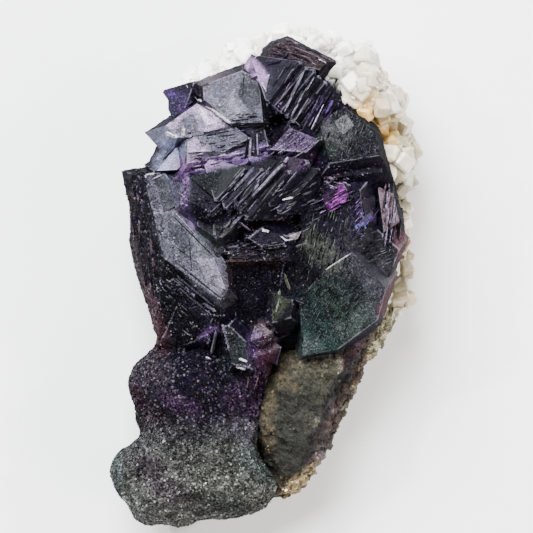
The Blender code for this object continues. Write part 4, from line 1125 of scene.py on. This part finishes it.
def buildSugarCrystals():
    bed = fluoriteCrystals.data.copy()
    points = np.zeros(len(bed.vertices) * 3)
    normals = np.zeros(len(bed.vertices) * 3)
    bed.vertices.foreach_get("co", points)
    bed.vertices.foreach_get("normal", normals)
    points, normals = points.reshape(-1, 3), normals.reshape(-1, 3)
    flat = photoPlaces(points)
    faceUp = normals[:, 2] > -0.2
    patchy = np.clip(noiseAt(points, 3 * mm, 6) * 1.6 + 0.6, 0.1, 1)
    between = np.zeros(len(points))
    for entry in rubble:
        away = distanceToLine(flat, entry["line"])
        between = np.maximum(between, np.clip(1.4 - away / entry["wide"] * 2, 0, 1) * entry["amount"])
    lobe = insideOutline(flat, sugaryPart)
    addAttribute(bed, "strewn", "FLOAT", "POINT", lobe * patchy * faceUp)
    strewOver("sugarCrystals", bed, sugarCrystals)
    fineBed = fluoriteCrystals.data.copy()
    addAttribute(fineBed, "strewn", "FLOAT", "POINT", np.maximum(between,
        0.25 * lobe) * (1.3 - patchy) * faceUp)
    strewOver("glitterCrystals", fineBed, glitter)


def strewOver(name, bed, crop):
    piece = strew(name, bed, {
        "Shape": hiddenShape("octahedron", octahedron),
        "Per square metre": crop["perSquareMetre"],
        "Smallest": crop["smallest"],
        "Largest": crop["largest"],
        "Tilt": crop["tilt"],
        "Seed": crop["seed"],
        "Finish": fluoriteCrystals.data.materials[0],
    })
    shadeCrystals(piece.data, 6, crop["shades"])
    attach(piece, "root")


buildSugarCrystals()

# The host rock

hostRock = {
    "spacing": 0.5 * mm,
    "hiddenSpacing": 2.5 * mm,
    "seed": 8,
    "swells": [(6 * mm, 0.9 * mm), (2.4 * mm, 0.55 * mm)],
    "crags": [(3.2 * mm, 0.8 * mm), (1.4 * mm, 0.6 * mm)],
    "keptAbove": 0.6 * mm,
    "strewnAbove": 3 * mm,
    "lift": 0.3 * mm,
    "depth": 0.12,
    "rimDepth": 0.6,
    "plainBelow": 10 * mm,
    "stainWander": [(5 * mm, 4), (1.6 * mm, 3)],
    "grains": {
        "perSquareMetre": 1.5e6, "smallest": 0.3 * mm, "largest": 1.1 * mm, "tilt": 1, "seed": 15,
        "shades": {"seed": 16, "spread": 0.9, "paleShare": 0.02, "paleStrength": 0.12, "pale": "cream"},
    },
    "knobs": {
        "perSquareMetre": 3e5, "smallest": 1.2 * mm, "largest": 3.2 * mm, "tilt": 1, "seed": 17,
        "shades": {"seed": 18, "spread": 0.35, "paleShare": 0.1, "paleStrength": 0.1, "pale": "cream"},
    },
}

# The rock's ragged rim, with knobs on it, runs along here on the photograph.
rockRim = [
    (404, 275), (392, 302), (387, 336), (372, 356), (361, 374), (346, 400), (333, 426), (329, 446), (312,
    475), (287, 497)]

rockStains = [
    {"line": [(300, 366), (332, 362)], "wide": 26, "tint": "tan", "strength": 0.65, "soft": 0.4},
    {"line": [(283, 360), (270, 405), (267, 450)], "wide": 11, "tint": "sand", "strength": 0.9, "soft": 1},
    {"line": [(285, 392), (310, 385), (332, 385)], "wide": 22, "tint": "olive", "strength": 0.7, "soft": 1.4},
    {"line": [(294, 415), (294, 465)], "wide": 30, "tint": "bottleBlack", "strength": 0.6, "soft": 1.4},
    {"line": [(340, 362), (343, 376)], "wide": 8, "tint": "cream", "strength": 0.9},
    {"line": [(319, 421), (317, 432)], "wide": 5, "tint": "cream", "strength": 0.9},
    {"line": [(282, 380), (294, 388)], "wide": 7, "tint": "sand", "strength": 0.5, "soft": 1.2},
    {"line": [(375, 290), (362, 350), (335, 410), (312, 470)], "wide": 7, "tint": "tan", "strength": 0.5,
     "soft": 1.2},
    {"line": [(400, 285), (386, 330), (368, 352)], "wide": 16, "tint": "tan", "strength": 0.85, "soft": 0.8},
    {"line": [(366, 355), (345, 395), (334, 420)], "wide": 11, "tint": "rust", "strength": 0.85, "soft": 0.9},
    {"line": [(335, 425), (328, 450), (312, 470)], "wide": 14, "tint": "roseShade", "strength": 0.85,
     "soft": 0.9},
    {"line": [(312, 470), (292, 492)], "wide": 12, "tint": "sand", "strength": 0.8, "soft": 1},
    {"line": [(405, 260), (386, 291), (366, 321), (363, 341), (350, 359), (345, 378)], "wide": 10,
     "tint": "wineRed",
     "strength": 0.95, "soft": 0.5},
    {"line": [(345, 378), (337, 394), (326, 409), (326, 423), (314, 441), (309, 462)], "wide": 9,
     "tint": "darkWine",
     "strength": 0.95, "soft": 0.5},
    {"line": [(356, 366), (345, 390), (333, 416), (325, 440)], "wide": 18, "tint": "darkBrown",
     "strength": 0.9, "soft": 0.7},
    {"line": [(346, 380), (336, 398)], "wide": 9, "tint": "smokeBlack", "strength": 0.9, "soft": 0.6},
    {"line": [(366, 335), (356, 345)], "wide": 5, "tint": "dustyPink", "strength": 0.7, "soft": 1},
    {"line": [(342, 396), (328, 424)], "wide": 13, "tint": "darkBrown", "strength": 0.9, "soft": 0.8},
    {"line": [(331, 404), (334, 412)], "wide": 4, "tint": "rose", "strength": 0.9, "soft": 1},
    {"line": [(268, 490), (285, 500)], "wide": 18, "tint": "sand", "strength": 0.8, "soft": 1},
]


def buildRock():
    shape, number, count = flatFaces("host_rock", math.radians(1.2))
    refine(shape, number, hostRock["spacing"], hostRock["hiddenSpacing"], hostRock["seed"])
    free = [vert for vert in shape.verts if vert.co.z > hostRock["keptAbove"]]
    for _ in range(3):
        bmesh.ops.smooth_vert(shape, verts=free, factor=0.5, use_axis_x=True, use_axis_y=True,
            use_axis_z=True)
    shape.normal_update()
    for vert in free:
        rise = hostRock["lift"]
        for size, height in hostRock["swells"]:
            rise += noise.noise(vert.co / size) * height
        for size, height in hostRock["crags"]:
            rise -= abs(noise.noise(vert.co / size)) * height
        vert.co += vert.normal * rise
        vert.co.z = max(vert.co.z, hostRock["keptAbove"])
    mesh = bpy.data.meshes.new("hostRock")
    shape.to_mesh(mesh)
    shape.free()
    points = np.zeros(len(mesh.vertices) * 3)
    mesh.vertices.foreach_get("co", points)
    points = points.reshape(-1, 3)
    mixed = np.clip(noiseAt(points, 5 * mm, 2) * 1.4 + 0.5, 0, 1)[:, None]
    plain = np.array(paint("olive")) * mixed + np.array(paint("mudGrey")) * (1 - mixed)
    places = photoPlaces(points)
    for size, reach in hostRock["stainWander"]:
        places = places + np.column_stack((noiseAt(points, size, 31), noiseAt(points, size, 32))) * reach
    flat = photoPlaces(points)
    inRim = np.clip(1.8 - distanceToLine(flat, rockRim) / 5, 0, 1)
    low = np.clip(1.3 - points[:, 2] / hostRock["plainBelow"], 0, 1)[:, None]
    colour = stained(plain, points, places, rockStains) * (1 - low) + plain * low
    colour = colour * (hostRock["depth"] + hostRock["rimDepth"] * inRim)[:, None]
    addAttribute(mesh, "tint", "FLOAT_COLOR", "POINT", np.column_stack((colour, np.ones(len(colour)))))
    mesh.materials.append(rockMaterial())
    piece = newPiece("hostRock", mesh)
    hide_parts("host_rock")
    inOpen = points[:, 2] > hostRock["strewnAbove"]
    pieces = [piece]
    for name, crop, where in (
            ("rockGrains", hostRock["grains"], 0.55 + 0.45 * inRim), ("rockKnobs", hostRock["knobs"], inRim)):
        bed = mesh.copy()
        addAttribute(bed, "strewn", "FLOAT", "POINT", where * inOpen)
        strewn = strew(name, bed, {
            "Shape": hiddenShape("rockChip", rockChip),
            "Per square metre": crop["perSquareMetre"],
            "Smallest": crop["smallest"],
            "Largest": crop["largest"],
            "Tilt": crop["tilt"],
            "Seed": crop["seed"],
            "Finish": mesh.materials[0],
        })
        shadeCrystals(strewn.data, 12, crop["shades"])
        pieces.append(strewn)
    for piece in pieces:
        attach(piece, "root")
    print("host rock", len(mesh.polygons), "faces")


# A rough chip: a flattened ball of twelve corners, each pulled a little out of place.
def rockChip(shape):
    rng = random.Random(hostRock["seed"])
    bmesh.ops.create_icosphere(shape, subdivisions=1, radius=0.5)
    for vert in shape.verts:
        vert.co *= rng.uniform(0.72, 1.05)
        vert.co.z *= 0.7


def rockMaterial():
    material, tree, shader = newMaterial("hostRock")
    place = addNode(tree, "ShaderNodeTexCoord").outputs["Object"]
    tint = addNode(tree, "ShaderNodeAttribute", attribute_name="tint").outputs["Color"]
    cloud = addNode(tree, "ShaderNodeTexNoise", {"Vector": place, "Scale": 800, "Detail": 8,
        "Roughness": 0.75})
    fine = addNode(tree, "ShaderNodeTexNoise", {"Vector": place, "Scale": 2600, "Detail": 5,
        "Roughness": 0.75})
    shade = addNode(tree, "ShaderNodeMapRange", {
        "Value": cloud.outputs["Fac"], "From Min": 0.38, "From Max": 0.64, "To Min": 0.15, "To Max": 2.0})
    clouded = addNode(tree, "ShaderNodeVectorMath", {0: tint, 1: shade.outputs["Result"]},
        operation="MULTIPLY")
    fineShade = addNode(tree, "ShaderNodeMapRange", {
        "Value": fine.outputs["Fac"], "From Min": 0.36, "From Max": 0.62, "To Min": 0.25, "To Max": 1.7})
    body = addNode(tree, "ShaderNodeVectorMath", {
        0: clouded.outputs[0], 1: fineShade.outputs["Result"]}, operation="MULTIPLY")
    grains = addNode(tree, "ShaderNodeMapRange", {
        "Value": fine.outputs["Fac"], "From Min": 0.58, "From Max": 0.72, "To Min": 0, "To Max": 0.35})
    grained = addNode(tree, "ShaderNodeMix", {
        "Factor": grains.outputs["Result"], "A": body.outputs[0], "B": (0.14, 0.14, 0.12, 1)},
        data_type="RGBA")
    tree.links.new(grained.outputs[2], shader.inputs["Base Color"])
    shader.inputs["Roughness"].default_value = 0.7
    shader.inputs["Specular IOR Level"].default_value = 0.25
    height = addNode(tree, "ShaderNodeMath", {
        0: cloud.outputs["Fac"], 1: 1.5, 2: fine.outputs["Fac"]}, operation="MULTIPLY_ADD")
    bump = addNode(tree, "ShaderNodeBump", {"Height": height.outputs[0], "Strength": 1, "Distance": 0.4 * mm})
    tree.links.new(bump.outputs["Normal"], shader.inputs["Normal"])
    return material


buildRock()

# The pale crust along the rim

paleCrust = {
    "edge": 0.18 * mm,
    "blocks": {"perSquareMetre": 6e4, "smallest": 2.6 * mm, "largest": 5.8 * mm, "tilt": 0.7, "seed": 12},
    "grains": {"perSquareMetre": 1.6e5, "smallest": 0.8 * mm, "largest": 2 * mm, "tilt": 0.8, "seed": 13},
    "shades": {"seed": 5, "spread": 0.14, "paleShare": 0.3, "paleStrength": 0.45, "pale": "milk"},
}

crustStains = [
    {"line": [(330, 60), (355, 75), (362, 95)], "wide": 24, "tint": "cream", "strength": 0.5, "soft": 1.5},
    {"line": [(372, 80), (392, 110), (402, 160)], "wide": 34, "tint": "sand", "strength": 0.75, "soft": 1.5},
    {"line": [(388, 120), (402, 160), (412, 190)], "wide": 20, "tint": "tan", "strength": 0.85, "soft": 1.5},
    {"line": [(356, 110), (368, 116), (384, 140)], "wide": 18, "tint": "honey", "strength": 0.85,
     "soft": 1.2},
    {"line": [(402, 170), (412, 195)], "wide": 18, "tint": "mudGrey", "strength": 0.7, "soft": 1.2},
    {"line": [(396, 205), (408, 250)], "wide": 26, "tint": "tan", "strength": 0.9, "soft": 1},
    {"line": [(408, 240), (404, 300)], "wide": 26, "tint": "sand", "strength": 0.85, "soft": 1},
    {"line": [(404, 240), (402, 275)], "wide": 8, "tint": "maroon", "strength": 0.8, "soft": 1},
    {"line": [(396, 270), (380, 330), (362, 360)], "wide": 30, "tint": "tan", "strength": 0.9, "soft": 1},
    {"line": [(262, 42), (300, 38)], "wide": 10, "tint": "cream", "strength": 0.4, "soft": 1.5},
]


def buildCrust():
    shape, number, count = flatFaces("pale_crystal_crust", math.radians(1.2))
    sharp = [edge for edge in shape.edges if edge.is_convex and edge.calc_face_angle(0) > math.radians(25)]
    bmesh.ops.bevel(shape, geom=sharp, offset=paleCrust["edge"], segments=1, affect="EDGES",
        clamp_overlap=True)
    bmesh.ops.triangulate(shape, faces=shape.faces)
    mesh = settledMesh("paleCrust", shape)
    shape.free()
    points = np.zeros(len(mesh.vertices) * 3)
    normals = np.zeros(len(mesh.vertices) * 3)
    mesh.vertices.foreach_get("co", points)
    mesh.vertices.foreach_get("normal", normals)
    points, normals = points.reshape(-1, 3), normals.reshape(-1, 3)
    colour = np.tile(np.array(paint("milk")), (len(points), 1))
    colour = stained(colour, points, photoPlaces(points), crustStains)
    addAttribute(mesh, "tint", "FLOAT_COLOR", "POINT", np.column_stack((colour, np.ones(len(colour)))))
    mesh.materials.append(crustMaterial())
    piece = newPiece("paleCrust", mesh)
    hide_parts("pale_crystal_crust")
    pieces = [piece]
    for name, crop in (("largePaleCrystals", paleCrust["blocks"]),
        ("smallPaleCrystals", paleCrust["grains"])):
        bed = mesh.copy()
        addAttribute(bed, "strewn", "FLOAT", "POINT", (normals[:, 2] > -0.3).astype(float))
        strewn = strew(name, bed, {
            "Shape": hiddenShape("paleBlock", paleBlock),
            "Per square metre": crop["perSquareMetre"],
            "Smallest": crop["smallest"],
            "Largest": crop["largest"],
            "Tilt": crop["tilt"],
            "Seed": crop["seed"],
            "Finish": mesh.materials[0],
        })
        shadeCrystals(strewn.data, 24, paleCrust["shades"])
        pieces.append(strewn)
    for piece in pieces:
        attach(piece, "root")
    print("pale crust done")


# A stubby block with its edges taken off, of one unit across.
def paleBlock(shape):
    bmesh.ops.create_cube(shape, size=0.8, matrix=Matrix.Diagonal((1, 0.85, 0.9, 1)))
    bmesh.ops.bevel(shape, geom=shape.edges[:], offset=0.09, segments=1, affect="EDGES")
    bmesh.ops.triangulate(shape, faces=shape.faces)


def crustMaterial():
    material, tree, shader = newMaterial("paleCrystals")
    place = addNode(tree, "ShaderNodeTexCoord").outputs["Object"]
    tint = addNode(tree, "ShaderNodeAttribute", attribute_name="tint").outputs["Color"]
    cloud = addNode(tree, "ShaderNodeTexNoise", {"Vector": place, "Scale": 500, "Detail": 6,
        "Roughness": 0.65})
    shade = addNode(tree, "ShaderNodeMapRange", {
        "Value": cloud.outputs["Fac"], "From Min": 0.32, "From Max": 0.6, "To Min": 0.68, "To Max": 1.04})
    body = addNode(tree, "ShaderNodeVectorMath", {0: tint, 1: shade.outputs["Result"]}, operation="MULTIPLY")
    tree.links.new(body.outputs[0], shader.inputs["Base Color"])
    shader.inputs["Roughness"].default_value = 0.22
    shader.inputs["IOR"].default_value = 1.54
    shader.inputs["Transmission Weight"].default_value = 0.08
    shader.inputs["Subsurface Weight"].default_value = 0.6
    shader.inputs["Subsurface Scale"].default_value = 2.5 * mm
    shader.inputs["Subsurface Radius"].default_value = (1, 0.95, 0.85)
    bump = addNode(tree, "ShaderNodeBump", {
        "Height": cloud.outputs["Fac"], "Strength": 0.5, "Distance": 0.3 * mm})
    tree.links.new(bump.outputs["Normal"], shader.inputs["Normal"])
    return material


buildCrust()

# Floor, light and camera

setting = {
    "floor": 1.2,
    "cameraHeight": 1.0,
    "levelInFocus": 20 * mm,
    "viewWidth": 119 * mm,
    "aimedAt": (266.5, 266.5),
}


def buildFloor():
    mesh = bpy.data.meshes.new("floor")
    half = setting["floor"] / 2
    mesh.from_pydata([(-half, -half, 0), (half, -half, 0), (half, half, 0), (-half, half, 0)], [],
        [(0, 1, 2, 3)])
    floor = newPiece("floor", mesh)
    material, tree, shader = newMaterial("paleFloor")
    shader.inputs["Base Color"].default_value = (0.74, 0.74, 0.74, 1)
    shader.inputs["Roughness"].default_value = 0.9
    mesh.materials.append(material)


def buildCamera():
    camera = bpy.data.cameras.new("camera")
    camera.sensor_width = 36
    camera.lens = 36 * (setting["cameraHeight"] - setting["levelInFocus"]) / setting["viewWidth"]
    camera.clip_end = 10
    holder = bpy.data.objects.new("camera", camera)
    holder.location = spot(setting["aimedAt"]) + Vector((0, 0, setting["cameraHeight"]))
    scene.collection.objects.link(holder)
    scene.camera = holder


# Each soft box hangs at a place and looks at the specimen.
lights = [
    {"name": "keyBox", "at": (-0.2, 0.46, 0.6), "size": 0.5, "power": 41, "colour": (0.95, 0.97, 1)},
    {"name": "fillBox", "at": (0.52, -0.28, 0.42), "size": 0.4, "power": 9.5, "colour": (1, 0.95, 0.88)},
    {"name": "leftGlint", "at": (-0.42, 0.18, 0.5), "size": 0.04, "power": 3.6, "colour": (1, 1, 1)},
    {"name": "rightGlint", "at": (0.5, 0.1, 0.45), "size": 0.04, "power": 3, "colour": (1, 1, 1)},
]


def buildLights():
    for entry in lights:
        light = bpy.data.lights.new(entry["name"], "AREA")
        light.shape = "SQUARE"
        light.size = entry["size"]
        light.energy = entry["power"]
        light.color = entry["colour"]
        holder = bpy.data.objects.new(entry["name"], light)
        holder.location = entry["at"]
        holder.rotation_euler = (-Vector(entry["at"])).to_track_quat("-Z", "Y").to_euler()
        scene.collection.objects.link(holder)
    world = bpy.data.worlds.new("paleRoom")
    world.use_nodes = True
    world.node_tree.nodes["Background"].inputs["Color"].default_value = (0.85, 0.88, 0.95, 1)
    world.node_tree.nodes["Background"].inputs["Strength"].default_value = 0.2
    scene.world = world


buildFloor()
buildCamera()
buildLights()
